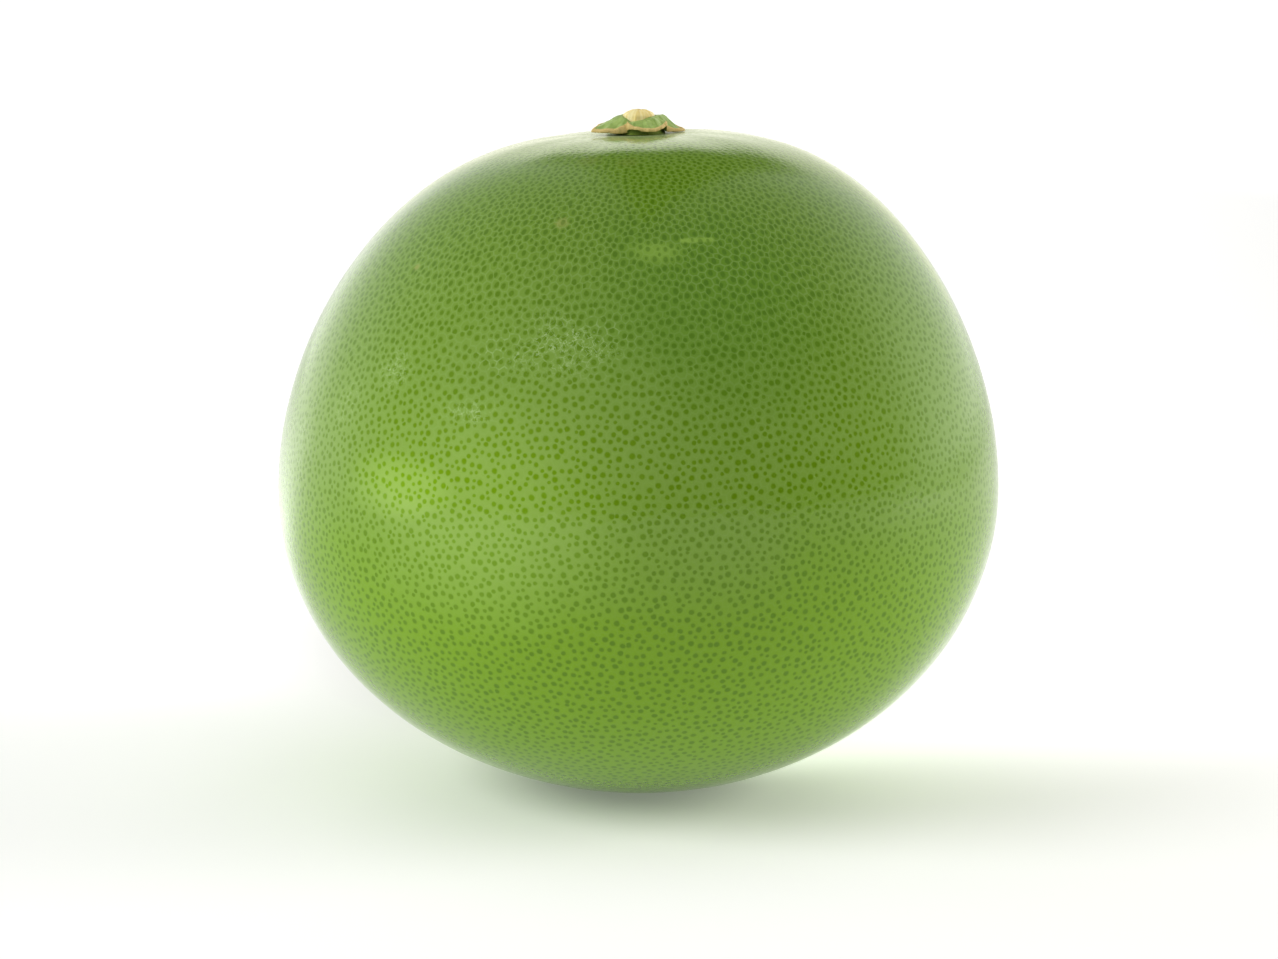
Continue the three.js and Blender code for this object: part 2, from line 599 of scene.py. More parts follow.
def ringed_mesh(name: str, rings: Sequence[Sequence[Spot]]) -> bpy.types.Mesh:
    """A smooth closed surface through rings of points.

    Args:
        name: The mesh's name.
        rings: The first and the last are single points. Each ring between has one point
            for each meridian.

    Returns:
        The mesh, with each mark as an attribute.
    """
    spots = [spot for ring in rings for spot in ring]
    count = len(rings[1])
    last = len(spots) - 1
    faces = []
    for i in range(count):
        j = (i + 1) % count
        faces.append((0, 1 + i, 1 + j))
        for start in range(1, last - count, count):
            faces.append((start + i, start + count + i, start + count + j, start + j))
        faces.append((last, last - count + j, last - count + i))
    made = plain_mesh(name, np.array([spot.place for spot in spots]), faces)
    for mark in spots[0].marks:
        values = np.array([spot.marks[mark] for spot in spots], np.float32)
        made.attributes.new(mark, "FLOAT", "POINT").data.foreach_set("value", values)
    made.shade_smooth()
    return made


def show(name: str, mesh: bpy.types.Mesh) -> bpy.types.Object:
    """Puts a mesh in the scene, at the origin.

    Args:
        name: The object's name.
        mesh: Its mesh.

    Returns:
        The object.
    """
    made = bpy.data.objects.new(name, mesh)
    mesh.name = name
    bpy.context.scene.collection.objects.link(made)
    return made


# ---- the skin -------------------------------------------------------------------------


@dataclass(frozen=True)
class Lump:
    """A slow swelling that keeps the fruit from being truly round."""

    share: float
    waves: int
    phase: float


@dataclass(frozen=True)
class Skin:
    """The fruit's outer form, as a formula on a direction from its middle.

    Each size is a length in metres, a share or an angle, or the input of a tree.
    """

    equator_radius: Number = 82.5 * MM
    crown_rise: Number = 89.0 * MM
    crown_power: Number = 1.94
    base_drop: Number = 69.5 * MM
    base_power: Number = 2.0
    flattening_depth: Number = 7.4 * MM
    flattening_reach: Number = 34.0 * MM
    dimple_depth: Number = 0.6 * MM
    dimple_reach: Number = 9.0 * MM
    crown_lean: Number = 0.01
    belly_lean: Number = -0.004
    belly_lean_angle: Number = math.radians(106)
    belly_lean_spread: Number = math.radians(28)
    rib_depth: Number = 0.1 * MM
    rib_reach: Number = 21.0 * MM

    RIB_COUNT = 11
    LUMPS = (Lump(0.0022, 2, 0.9), Lump(0.0016, 3, -1.1), Lump(0.001, 5, 2.3))
    LEVELS = 48
    FLAT_LEVELS = 3
    FULLEST_CROWN = 0.5 * 0.75**1.5  # the greatest value of sin * cos**3, at 30 degrees
    HALVINGS = 40

    def as_inputs(self, tree: GeometryTree) -> "Skin":
        """Makes each size a named input of a tree.

        Args:
            tree: The tree.

        Returns:
            The same skin with the inputs for its sizes.
        """
        inputs = {}
        for item in fields(self):
            name = item.name.replace("_", " ").capitalize()
            inputs[item.name] = tree.size(name, getattr(self, item.name))
        return Skin(**inputs)

    def bare_radius(self, polar: Number) -> Number:
        """Distance from the middle to the undented skin.

        Args:
            polar: Angle down from straight up.

        Returns:
            The distance.
        """
        up = above(cosine(polar), 0.0)
        height = between(self.base_drop, self.crown_rise, up)
        power = between(self.base_power, self.crown_power, up)
        across = (sine(polar) / self.equator_radius) ** power
        along = (size_of(cosine(polar)) / height) ** power
        return (across + along) ** (-1.0 / power)

    def swelling(self, polar: Number, azimuth: Number) -> Number:
        """The share by which the skin stands out of a body of revolution.

        Args:
            polar: Angle down from straight up.
            azimuth: Angle round from +X.

        Returns:
            The share.
        """
        out = sine(polar)
        up = larger(cosine(polar), 0.0)
        crown_share = out * up * up * up * (1 / self.FULLEST_CROWN)
        belly_share = out * bell(polar - self.belly_lean_angle, self.belly_lean_spread)
        lean = self.crown_lean * crown_share + self.belly_lean * belly_share
        total = lean * cosine(azimuth)
        for lump in self.LUMPS:
            wave = cosine(azimuth * lump.waves + lump.phase)
            total = total + out**lump.waves * wave * lump.share
        return total

    def point(self, polar: Number, azimuth: Number) -> tuple[Number, Number, Number]:
        """A point of the skin, with the fruit's middle at the origin.

        Args:
            polar: Angle down from straight up.
            azimuth: Angle round from +X.

        Returns:
            Its x, y and z.
        """
        radius = self.bare_radius(polar) * (self.swelling(polar, azimuth) + 1.0)
        out = radius * sine(polar)
        up = radius * cosine(polar)
        rib_place = (out / self.rib_reach) * (out / self.rib_reach)
        rib_share = rib_place * exponential(1.0 - rib_place)
        furrow = 0.5 - cosine(azimuth * self.RIB_COUNT) * 0.5
        dent = bell(out, self.flattening_reach) * self.flattening_depth
        dent = dent + bell(out, self.dimple_reach) * self.dimple_depth
        dent = dent + rib_share * furrow * self.rib_depth
        up = up - dent * above(up, 0.0)
        return out * cosine(azimuth), out * sine(azimuth), up

    def middle_height(self) -> float:
        """Height of the fruit's middle over the flat spot that it stands on."""
        flat_angle = math.pi - self.FLAT_LEVELS * math.pi / self.LEVELS
        return float(-self.bare_radius(flat_angle) * math.cos(flat_angle))

    def height_near_stem(self, out: float) -> float:
        """Height of the skin near the stem, `out` from the axis, over the flat spot."""
        polar = math.atan2(out, self.crown_rise)
        return self.middle_height() + float(self.point(polar, 0.0)[2])

    def place_at(self, azimuth: float, height: float) -> Vector:
        """Finds a point of the skin by halving the span of angles that it lies in.

        Args:
            azimuth: Degrees round from +X.
            height: Height over the flat spot.

        Returns:
            The point, with the flat spot at the origin.
        """
        turn = math.radians(azimuth)
        low, high = 0.0, math.pi
        for _ in range(self.HALVINGS):
            polar = (low + high) / 2
            found = float(self.point(polar, turn)[2]) + self.middle_height()
            low, high = (polar, high) if found > height else (low, polar)
        x, y, z = self.point(polar, turn)
        return Vector((x, y, z + self.middle_height()))


def on_skin(tree: GeometryTree, skin: Skin, way: Value) -> Value:
    """The point of the skin in a direction.

    Args:
        tree: The tree that works it out.
        skin: The skin, with its sizes as the tree's inputs.
        way: A direction from the fruit's middle, of any length.

    Returns:
        The point, with the fruit's middle at the origin.
    """
    x, y, z = way.unit().parts()
    polar = tree.math("ARCCOSINE", z)
    azimuth = tree.math("ARCTAN2", y, x)
    return tree.vector(*skin.point(polar, azimuth))


# ---- the rind -------------------------------------------------------------------------


@dataclass(frozen=True)
class Blemish:
    """A mark at one place on the skin: degrees round, height over the foot, and reach."""

    azimuth: float
    height: float
    reach: float
    tallness: float = 1.0

    # How far away a mark starts to show and is full, as shares of its reach.
    EDGE = (1.15, 0.15)

    def near(self, skin: Skin, place: Value, ragged: Value, amount: float) -> Value:
        """How close a place is to the mark.

        Args:
            skin: The skin that the mark is on.
            place: Where the surface is.
            ragged: Noise that breaks the mark's outline.
            amount: How far the noise breaks it, as a share of its reach.

        Returns:
            1 in its middle and 0 away from it.
        """
        middle = skin.place_at(self.azimuth, self.height)
        away = (place - tuple(middle)) * (1.0, 1.0, 1 / self.tallness)
        distance = away.length() / self.reach
        return step(distance + (ragged - 0.5) * amount, *self.EDGE)


@dataclass(frozen=True)
class Blemishes:
    """Marks of one sort: how ragged they are, how strongly they show, and where they are."""

    ragged: float
    amount: float
    marks: tuple[Blemish, ...]

    def at(self, skin: Skin, place: Value, ragged: Value) -> Value:
        """How strongly the marks show.

        Args:
            skin: The skin that they are on.
            place: Where the surface is.
            ragged: Noise that breaks their outlines.

        Returns:
            The amount in the middle of a mark, and 0 away from them all.
        """
        closest = 0.0
        for mark in self.marks:
            closest = larger(closest, mark.near(skin, place, ragged, self.ragged))
        return closest * self.amount


@dataclass(frozen=True)
class Scratch:
    """A thin straight mark between two places on the skin."""

    start: Blemish
    end: Blemish

    # How far away it starts to show and is full, as shares of its reach.
    EDGE = (1.1, 0.3)

    def at(self, skin: Skin, place: Value) -> Value:
        """How close a place is to the scratch.

        Args:
            skin: The skin that it is on.
            place: Where the surface is.

        Returns:
            1 on the scratch and 0 away from it.
        """
        start, end = (skin.place_at(mark.azimuth, mark.height) for mark in (self.start, self.end))
        way = end - start
        share = (place - tuple(start)).dot(tuple(way / way.length_squared))
        nearest = larger(0.0, smaller(1.0, share)) * tuple(way)
        distance = (place - tuple(start) - nearest).length() / self.start.reach
        return step(distance, *self.EDGE)


@dataclass(frozen=True)
class RindPattern:
    """What the rind's finish reads at each place.

    `out` and `height` say where the place is. `dot`, `line` and `thread` are 1 on a gland
    and on the net's broad and narrow lines between the glands. The rest is noise.
    """

    out: Value
    height: Value
    dot: Value
    line: Value
    thread: Value
    broad: Value
    cloudy: Value
    fine: Value


@dataclass(frozen=True)
class RindFinish:
    """The look of the rind: dark sunken glands in a paler waxy net.

    A pair that ends in `_from` gives where a smooth change starts and where it ends.
    """

    # The net and the glands, and what they turn to round the crown, low on the sides, in a
    # painted shade on the front of the shoulder and in a pale blush on the side.
    net: Colour = srgb(126, 159, 68)
    gland: Colour = srgb(98, 134, 10)
    crown_net: Colour = srgb(99, 134, 30)
    crown_gland: Colour = srgb(76, 112, 0)
    base_net: Colour = srgb(120, 162, 18)
    base_gland: Colour = srgb(90, 132, 0)
    # Painted shade: the net and the glands darkened on the front of the shoulder.
    deep_net: Colour = srgb(80, 126, 0)
    deep_gland: Colour = srgb(66, 110, 0)
    blush_net: Colour = srgb(150, 186, 84)
    blush_gland: Colour = srgb(119, 161, 14)
    line: Colour = srgb(158, 186, 116)
    web: Colour = srgb(178, 204, 142)
    tan: Colour = srgb(154, 156, 82)
    bruise: Colour = srgb(118, 128, 52)
    pale: Colour = srgb(132, 168, 62)
    # The pale cream of a painted highlight round the stem.
    halo: Colour = srgb(206, 216, 172)
    scar: Colour = srgb(120, 96, 48)

    # Where the crown's and the base's colours are, and how far noise sways their limits.
    crown_from: tuple[float, float] = (86 * MM, 138 * MM)
    crown_sway: float = 34 * MM
    base_from: tuple[float, float] = (88 * MM, 50 * MM)
    base_sway: float = 20 * MM

    # Noise from the largest to the finest.
    broad: Cloud = Cloud(42 * MM, 2.0, 0.5, 0.4)
    cloudy: Cloud = Cloud(9 * MM, 3.0, 0.55)
    orange_peel: Cloud = Cloud(1.9 * MM, 2.0, 0.5, 0.3)
    breaks: Cloud = Cloud(1.6 * MM, 3.0, 0.6)
    fibres: Cloud = Cloud(1.3 * MM, 1.0, 0.5, 0.8)
    wander: Cloud = Cloud(1.3 * MM)
    fine: Cloud = Cloud(0.7 * MM, 3.0, 0.6)

    # A gland's dot: its edge as shares of its radius, how far noise shifts its outline, and
    # how much longer it is than wide on the steep sides near the stem.
    dot_edge: tuple[float, float] = (0.6, 1.24)
    dot_wander: float = 0.34 * MM
    palest_dot: float = 0.86
    stem_tallness: float = 0.8
    stem_heights: tuple[float, float] = (103 * MM, 146 * MM)

    # The net's lines, from a gland's middle at 0 to the limit of its cell at 1.
    line_from: tuple[float, float] = (0.76, 0.98)
    thread_from: tuple[float, float] = (0.84, 0.98)
    line_share: float = 0.07
    crown_line_share: float = 0.2
    base_line_loss: float = 0.6
    mottle: float = 0.07

    # The fine scuffs in a web: broken threads of the net, and loose fibres.
    breaks_from: tuple[float, float] = (0.46, 0.6)
    thread_share: float = 0.6
    fibre_from: tuple[float, float] = (0.03, 0.008)
    fibre_patches_from: tuple[float, float] = (0.4, 0.55)

    # The least of a scratch that noise leaves, and how marks show on glands.
    scratch_least: float = 0.5
    scratch_on_glands: float = 0.4
    spot_on_net: float = 0.52
    spot_on_glands: float = 0.22

    # Round the stem: a pale painted highlight and a duller wax. On the base: a scar.
    crown_height: float = 100 * MM
    halo_share: float = 0.75
    halo_reach: float = 12.0 * MM
    neck_dullness: float = 0.4
    neck_reach: float = 11.0 * MM
    foot_from: tuple[float, float] = (1.2 * MM, 0.2 * MM)
    scar_from: tuple[float, float] = (4.6 * MM, 3.2 * MM)
    scar_share: float = 0.85

    # The relief, and the wax over it.
    gland_dent: float = 0.01 * MM
    net_ridge: float = 0.006 * MM
    grain: float = 0.006 * MM
    peel: float = 0.04 * MM
    bump_strength: float = 0.9
    roughness: float = 0.09
    cloudy_roughness: float = 0.12
    gland_roughness: float = 0.05
    ior: float = 1.35

    BLUSH = Blemishes(0.3, 1.0, (Blemish(-126.5, 79.5 * MM, 20.0 * MM, 0.5),))
    WIDE_BLUSH = Blemishes(0.3, 0.6, (Blemish(-113.0, 75.0 * MM, 35.0 * MM, 0.8),))
    # Painted shade: two patches that darken the green on the front of the shoulder and below it.
    DEEP = Blemishes(0.4, 0.5, (Blemish(-76.0, 120.0 * MM, 34.0 * MM),))
    DEEPER = Blemishes(0.3, 0.2, (Blemish(-50.0, 92.0 * MM, 74.0 * MM),))
    WEBS = Blemishes(
        1.0,
        0.6,
        (
            Blemish(-102.5, 111.0 * MM, 17.0 * MM, 0.5),
            Blemish(-113.0, 108.5 * MM, 8.0 * MM, 0.6),
            Blemish(-134.2, 103.7 * MM, 6.0 * MM),
            Blemish(-143.8, 95.2 * MM, 6.0 * MM),
            Blemish(-117.2, 96.6 * MM, 8.0 * MM, 0.4),
            Blemish(-157.8, 84.4 * MM, 7.0 * MM),
            Blemish(38.0, 96.0 * MM, 12.0 * MM, 0.6),
            Blemish(121.0, 58.0 * MM, 11.0 * MM, 0.7),
        ),
    )
    SPOTS = Blemishes(
        1.4,
        1.0,
        (
            Blemish(-108.1, 134.6 * MM, 1.9 * MM),
            Blemish(-140.2, 123.9 * MM, 1.1 * MM),
            Blemish(12.0, 104.0 * MM, 1.7 * MM),
            Blemish(74.0, 122.0 * MM, 2.3 * MM),
            Blemish(150.0, 92.0 * MM, 1.6 * MM),
        ),
    )
    BRUISES = Blemishes(
        1.2,
        0.24,
        (
            Blemish(-109.1, 146.3 * MM, 3.6 * MM),
            Blemish(-94.0, 146.1 * MM, 3.2 * MM),
            Blemish(62.0, 145.0 * MM, 4.0 * MM),
        ),
    )
    SCRATCH = Scratch(
        Blemish(-80.6, 131.4 * MM, 0.9 * MM), Blemish(-74.4, 131.5 * MM, 0.9 * MM)
    )
    SCRATCH_END = Blemishes(0.8, 0.6, (Blemish(-86.2, 129.4 * MM, 6.6 * MM, 0.42),))

    def material(self, skin: Skin) -> bpy.types.Material:
        """Builds the finish.

        Args:
            skin: The skin, which the marks are placed on.

        Returns:
            The material.
        """
        graph = MaterialTree("Waxy green rind")
        seen = self._pattern(graph)
        tone = graph.stored("gland_tone")
        depth = seen.dot * between(self.palest_dot, 1.0, tone)
        colour = self._green(graph, skin, seen, depth)
        colour = self._marked(graph, skin, seen, depth, colour)
        by_stem = above(seen.height, self.crown_height)
        # A painted highlight: round the stem the skin is paled towards cream.
        halo = bell(seen.out, self.halo_reach) * by_stem * self.halo_share
        colour = graph.mix(halo, colour, self.halo)
        foot = step(seen.height, *self.foot_from)
        navel = foot * step(seen.out, *self.scar_from)
        colour = graph.mix(navel * self.scar_share, colour, self.scar)

        relief = seen.line * self.net_ridge - seen.dot * self.gland_dent
        relief = relief + seen.fine * self.grain
        relief = relief + graph.noise(graph.place, self.orange_peel) * self.peel
        dull = bell(seen.out, self.neck_reach) * by_stem * self.neck_dullness
        roughness = self.roughness + (seen.cloudy - 0.5) * self.cloudy_roughness
        sockets = {
            "Base Color": colour,
            "Roughness": roughness + seen.dot * self.gland_roughness + dull,
            "IOR": self.ior,
            "Normal": graph.bump(relief, self.bump_strength),
        }
        return graph.finished(sockets)

    def _pattern(self, graph: MaterialTree) -> RindPattern:
        """Works out what the finish reads at each place of the skin.

        Args:
            graph: The material.

        Returns:
            The pattern of the glands and the noise over it.
        """
        place = graph.place
        wander = graph.noise(place, self.wander, "Color") - 0.5
        moved = place - graph.stored("gland_centre", "Vector") + wander * self.dot_wander
        x, y, z = place.parts()
        tall = 1.0 + step(z, *self.stem_heights) * self.stem_tallness
        sideways = graph.vector(-y, x, 0.0).unit().dot(moved)
        across = sideways * sideways
        along = moved.dot(moved) - across
        reach = (across * tall + along / tall) ** 0.5
        inner, outer = self.dot_edge
        rim = graph.stored("gland_rim")
        return RindPattern(
            out=(x * x + y * y) ** 0.5,
            height=z,
            dot=step(reach / graph.stored("gland_radius"), outer, inner),
            line=step(rim, *self.line_from),
            thread=step(rim, *self.thread_from),
            broad=graph.noise(place, self.broad),
            cloudy=graph.noise(place, self.cloudy),
            fine=graph.noise(place, self.fine),
        )

    def _green(self, graph: MaterialTree, skin: Skin, seen: RindPattern, depth: Value) -> Value:
        """The greens of the net and of the glands.

        Args:
            graph: The material.
            skin: The skin.
            seen: The pattern.
            depth: How much of a gland's colour shows.

        Returns:
            The colour.
        """
        place, cloudy, broad = graph.place, seen.cloudy, seen.broad - 0.5
        crown = step(seen.height + broad * self.crown_sway, *self.crown_from)
        low = step(seen.height + broad * self.base_sway, *self.base_from)
        # Painted shade darkens the green on the front of the shoulder.
        painted_shade = self.DEEP.at(skin, place, cloudy) + self.DEEPER.at(skin, place, seen.broad)
        blush = larger(self.BLUSH.at(skin, place, cloudy), self.WIDE_BLUSH.at(skin, place, cloudy))
        net, gland = self.net, self.gland
        for share, net_there, gland_there in (
            (crown, self.crown_net, self.crown_gland),
            (low, self.base_net, self.base_gland),
            (painted_shade, self.deep_net, self.deep_gland),
            (blush, self.blush_net, self.blush_gland),
        ):
            net = graph.mix(share, net, net_there)
            gland = graph.mix(share, gland, gland_there)
        line_share = between(self.line_share, self.crown_line_share, crown)
        line_share = line_share * (1.0 - low * self.base_line_loss)
        net = graph.mix(seen.line * line_share * (0.5 + cloudy), net, self.line)
        colour = graph.mix(depth, net, gland)
        mottle = (seen.fine - 0.5) * (2 * self.mottle)
        colour = graph.mix(larger(0.0, mottle), colour, self.line)
        return graph.mix(larger(0.0, -mottle), colour, gland)

    def _marked(
        self, graph: MaterialTree, skin: Skin, seen: RindPattern, depth: Value, colour: Value
    ) -> Value:
        """The colour with the scuffs, bruises, scratch and dry spots on it.

        Args:
            graph: The material.
            skin: The skin that the marks are on.
            seen: The pattern.
            depth: How much of a gland's colour shows.
            colour: The colour without the marks.

        Returns:
            The colour.
        """
        place, cloudy = graph.place, seen.cloudy
        broken = step(graph.noise(place, self.breaks), *self.breaks_from)
        fibre = step(size_of(graph.noise(place, self.fibres) - 0.5), *self.fibre_from)
        fibre = fibre * step(cloudy, *self.fibre_patches_from)
        scuff = larger(seen.thread * broken * self.thread_share, fibre)
        colour = graph.mix(self.WEBS.at(skin, place, cloudy) * scuff, colour, self.web)
        colour = graph.mix(self.BRUISES.at(skin, place, seen.fine), colour, self.bruise)
        scratch = self.SCRATCH.at(skin, place) * between(self.scratch_least, 1.0, cloudy)
        scratch = larger(scratch, self.SCRATCH_END.at(skin, place, cloudy))
        scratch = scratch * between(1.0, self.scratch_on_glands, depth)
        colour = graph.mix(scratch, colour, self.pale)
        spots = self.SPOTS.at(skin, place, seen.fine)
        spots = spots * between(self.spot_on_net, self.spot_on_glands, depth)
        return graph.mix(spots, colour, self.tan)


@dataclass(frozen=True)
class Rind:
    """The whole fruit's outside: one closed surface with a cell for each oil gland.

    A pair that ends in `_from` gives the heights over the fruit's middle between which a
    change in the spacing grows to its full share.
    """

    skin: Skin
    finish: RindFinish = RindFinish()
    closest: float = 1.46 * MM
    tries_per_mm2: float = 2.5
    stray: float = 0.3 * MM
    stem_crowding: float = 0.24
    stem_crowding_from: tuple[float, float] = (25 * MM, 82 * MM)
    stem_squeeze: float = 0.06
    stem_squeeze_from: tuple[float, float] = (40 * MM, 82 * MM)
    base_thinning: float = 0.1
    base_thinning_from: tuple[float, float] = (10 * MM, -20 * MM)
    dot_share: float = 0.54
    dot_spread: tuple[float, float] = (0.82, 1.18)
    smallest_dot: float = 0.42 * MM
    largest_dot: float = 0.7 * MM
    sink: float = 0.02 * MM
    pebble: float = 0.03 * MM
    pebble_size: float = 2.2 * MM
    sway: float = 0.35 * MM
    sway_size: float = 26 * MM
    navel_depth: float = 0.9 * MM
    navel_reach: float = 4.2 * MM
    ball_subdivisions: int = 7
    weld: float = 0.001 * MM
    map_edge: float = 0.485
    seed: int = 20

    CORNERS = 3
    CLOSENESS = 1e-9

    def scatter(self) -> np.ndarray:
        """Places the glands over the skin, each a little astray.

        They are spread evenly over a stretched copy of the skin, so that on the skin they
        stand closer together round the stem than down its sides, and apart at the base.

        Returns:
            The glands' places, with the fruit's middle at the origin.
        """
        tree = GeometryTree("Gland places")
        skin = self.skin.as_inputs(tree)
        closest = tree.size("Closest spacing", self.closest)
        density = tree.size("Tries per square metre", self.tries_per_mm2 / MM**2)
        stray = tree.size("Stray", self.stray)
        crowding = tree.size("Stem crowding", self.stem_crowding)
        squeeze = tree.size("Stem squeeze", self.stem_squeeze)
        thinning = tree.size("Base thinning", self.base_thinning)
        seed = tree.seed(self.seed)
        sockets = {"Radius": 1.0, "Subdivisions": self.ball_subdivisions}
        ball = tree.node("GeometryNodeMeshIcoSphere", {}, sockets).outputs["Mesh"]
        place = on_skin(tree, skin, tree.place())
        ball = tree.store(ball, "true_place", place, Kept.VECTOR)
        place = tree.kept("true_place", Kept.VECTOR)
        z = place.parts()[2]
        thin = 1.0 - step(z, *self.base_thinning_from) * thinning
        wide = thin + step(z, *self.stem_crowding_from) * crowding
        tall = thin - step(z, *self.stem_squeeze_from) * squeeze
        sockets = {
            "Mesh": tree.move(ball, place * tree.vector(wide, wide, tall)),
            "Distance Min": closest,
            "Density Max": density,
            "Seed": seed,
        }
        settings = {"distribute_method": "POISSON"}
        points = tree.node("GeometryNodeDistributePointsOnFaces", settings, sockets).outputs[0]
        sockets = {"Min": (-1.0, -1.0, -1.0), "Max": (1.0, 1.0, 1.0), "Seed": seed}
        luck = tree.value("FunctionNodeRandomValue", {"data_type": "FLOAT_VECTOR"}, sockets)
        points = tree.move(points, on_skin(tree, skin, place + luck * stray))
        marks = tree.node("GeometryNodePointsToVertices", {}, {"Points": points}).outputs[0]
        return places_of(tree.run(marks, None, bpy.data.meshes.new("Empty")))

    def join(self, glands: np.ndarray) -> bpy.types.Mesh:
        """Joins each gland to its neighbours, as a closed net of triangles.

        Seen from the stem's pole, the directions to the glands lie on a plane, where the
        best triangles are the same as on the fruit. A last point at the pole closes it.

        Args:
            glands: The glands' places.

        Returns:
            The net.
        """
        ways = glands / np.linalg.norm(glands, axis=1)[:, None]
        flat = ways[:, :2] / (1 - ways[:, 2:])
        net = delaunay_2d_cdt([Vector(p) for p in flat], [], [], 0, self.CLOSENESS)
        faces = [tuple(net[3][corner][0] for corner in reversed(face)) for face in net[2]]
        sides = {(face[i], face[(i + 1) % 3]) for face in faces for i in range(3)}
        pole = len(glands)
        faces += [(b, a, pole) for a, b in sorted(sides) if (b, a) not in sides]
        top = np.array([0.0, 0.0, self.skin.height_near_stem(0.0) - self.skin.middle_height()])
        return plain_mesh("Gland net", np.vstack([glands, top]), faces)

    def cells(self, net: bpy.types.Mesh, material: bpy.types.Material) -> bpy.types.Mesh:
        """Turns the net into the rind, with a cell of triangles round each gland.

        Args:
            net: The net of glands.
            material: The rind's finish.

        Returns:
            The rind.
        """
        tree = GeometryTree("Gland cells")
        skin = self.skin.as_inputs(tree)
        middle = tree.size("Height of the middle", self.skin.middle_height())
        sink = tree.size("Gland depth", self.sink)
        share = tree.size("Dot share", self.dot_share)
        smallest = tree.size("Smallest dot", self.smallest_dot)
        largest = tree.size("Largest dot", self.largest_dot)
        pebble = tree.size("Pebble height", self.pebble)
        sway = tree.size("Sway", self.sway)
        navel_depth = tree.size("Navel depth", self.navel_depth)
        navel_reach = tree.size("Navel reach", self.navel_reach)
        seed = tree.seed(self.seed)

        mesh = tree.store(tree.start(), "gland_way", tree.place(), Kept.VECTOR)
        mesh = tree.node("GeometryNodeDualMesh", {}, {"Mesh": mesh}).outputs[0]
        area = tree.value("GeometryNodeInputMeshFaceArea", {}, {})
        settings = {"data_type": "FLOAT"}
        luck = tree.value("FunctionNodeRandomValue", settings, {"Seed": seed}, "Value_001")
        across = (area * (1 / math.pi)) ** 0.5 * share * between(*self.dot_spread, luck)
        radius = larger(smallest, smaller(largest, across))
        mesh = tree.store(mesh, "gland_radius", radius, domain=Domain.FACE)
        mesh = tree.store(mesh, "gland_tone", luck, domain=Domain.FACE)
        sockets = {"Mesh": mesh, "Offset Scale": 0.0}
        raised = tree.node("GeometryNodeExtrudeMesh", {"mode": "FACES"}, sockets)
        mesh = tree.store(raised.outputs["Mesh"], "at_gland", raised.outputs["Top"], Kept.TRUTH)
        at_gland = tree.kept("at_gland", Kept.TRUTH)
        mesh = tree.move(mesh, tree.kept("gland_way", Kept.VECTOR), at_gland)
        sockets = {"Geometry": mesh, "Selection": at_gland, "Distance": self.weld}
        mesh = tree.node("GeometryNodeMergeByDistance", {}, sockets).outputs[0]

        way = tree.place().unit()
        bumps = tree.noise(way, Cloud(self.pebble_size / self.skin.equator_radius))
        waves = tree.noise(way, Cloud(self.sway_size / self.skin.equator_radius, 1.0))
        lift = (bumps - 0.5) * pebble + (waves - 0.5) * sway - sink * at_gland
        x, y, z = (on_skin(tree, skin, tree.place()) + way * lift).parts()
        out = (x * x + y * y) ** 0.5
        navel = bell(out, navel_reach) * navel_depth * above(0.0, z)
        mesh = tree.move(mesh, tree.vector(x, y, larger(z + middle, 0.0) + navel))

        # One corner of each triangle is its gland, so the mean over a triangle of the
        # gland's place there and zero elsewhere is a third of the gland's place.
        marked = tree.place() * at_gland * float(self.CORNERS)
        settings = {"data_type": "FLOAT_VECTOR", "domain": "POINT"}
        centre = tree.value("GeometryNodeFieldOnDomain", settings, {"Value": marked})
        mesh = tree.store(mesh, "gland_centre", centre, Kept.VECTOR, Domain.FACE)
        mesh = tree.store(mesh, "gland_rim", 1.0 - at_gland)
        smooth = tree.node("GeometryNodeSetShadeSmooth", {}, {"Geometry": mesh})
        return tree.run(smooth.outputs[0], material, net)

    def unfold(self, mesh: bpy.types.Mesh) -> None:
        """Gives the rind a map: the fruit unfolded onto a square, crown in the middle.

        The upper half fills the diamond between the square's sides, and the lower half is
        folded out to its corners. A face stays in the quarter that its middle is in.

        Args:
            mesh: The rind.
        """
        places = places_of(mesh) - [0, 0, self.skin.middle_height()]
        corners = np.zeros(len(mesh.loops), int)
        mesh.loops.foreach_get("vertex_index", corners)
        way = places[corners]
        way = way / np.abs(way).sum(1)[:, None]
        middles = way.reshape(-1, self.CORNERS, 3).mean(1)
        middles = np.repeat(middles, self.CORNERS, axis=0)
        sign = np.where(middles[:, :2] < 0, -1.0, 1.0)
        folded = sign * (1 - (way[:, 1::-1] * sign[:, ::-1]))
        lower = (way[:, 2] < 0)[:, None]
        place = 0.5 + self.map_edge * np.where(lower, folded, way[:, :2])
        layer = mesh.uv_layers.new(name="OFBake")
        layer.uv.foreach_set("vector", place.astype(np.float32).ravel())

    def build(self) -> bpy.types.Object:
        """Builds the rind and dresses it.

        Returns:
            The fruit.
        """
        net = self.join(self.scatter())
        mesh = self.cells(net, self.finish.material(self.skin))
        self.unfold(mesh)
        fruit = show("pomelo_rind", mesh)
        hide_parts("fruit")
        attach(fruit, "root")
        return fruit


# ---- the calyx ------------------------------------------------------------------------


@dataclass(frozen=True)
class Uneven:
    """Smooth unevenness of a form: how far it moves a place, how fine it is, and where from."""

    amount: float
    fineness: float
    start: tuple[float, float, float]

    def at(self, place: Vector) -> float:
        """How far it moves a place."""
        return noise.noise(place * self.fineness + Vector(self.start)) * self.amount


@dataclass(frozen=True)
class Sepal:
    """One lobe of the calyx.

    It points `towards` a number of degrees round from +X and is `half_width` degrees wide to
    either side. `point` is how drawn out its tip is and `droop` how its rim comes down to the
    tip. `hump` rounds its top, and `twist` lifts one side and lowers the other.
    """

    towards: float
    reach: float
    tip_height: float
    half_width: float
    point: float
    droop: float
    hump: float
    twist: float


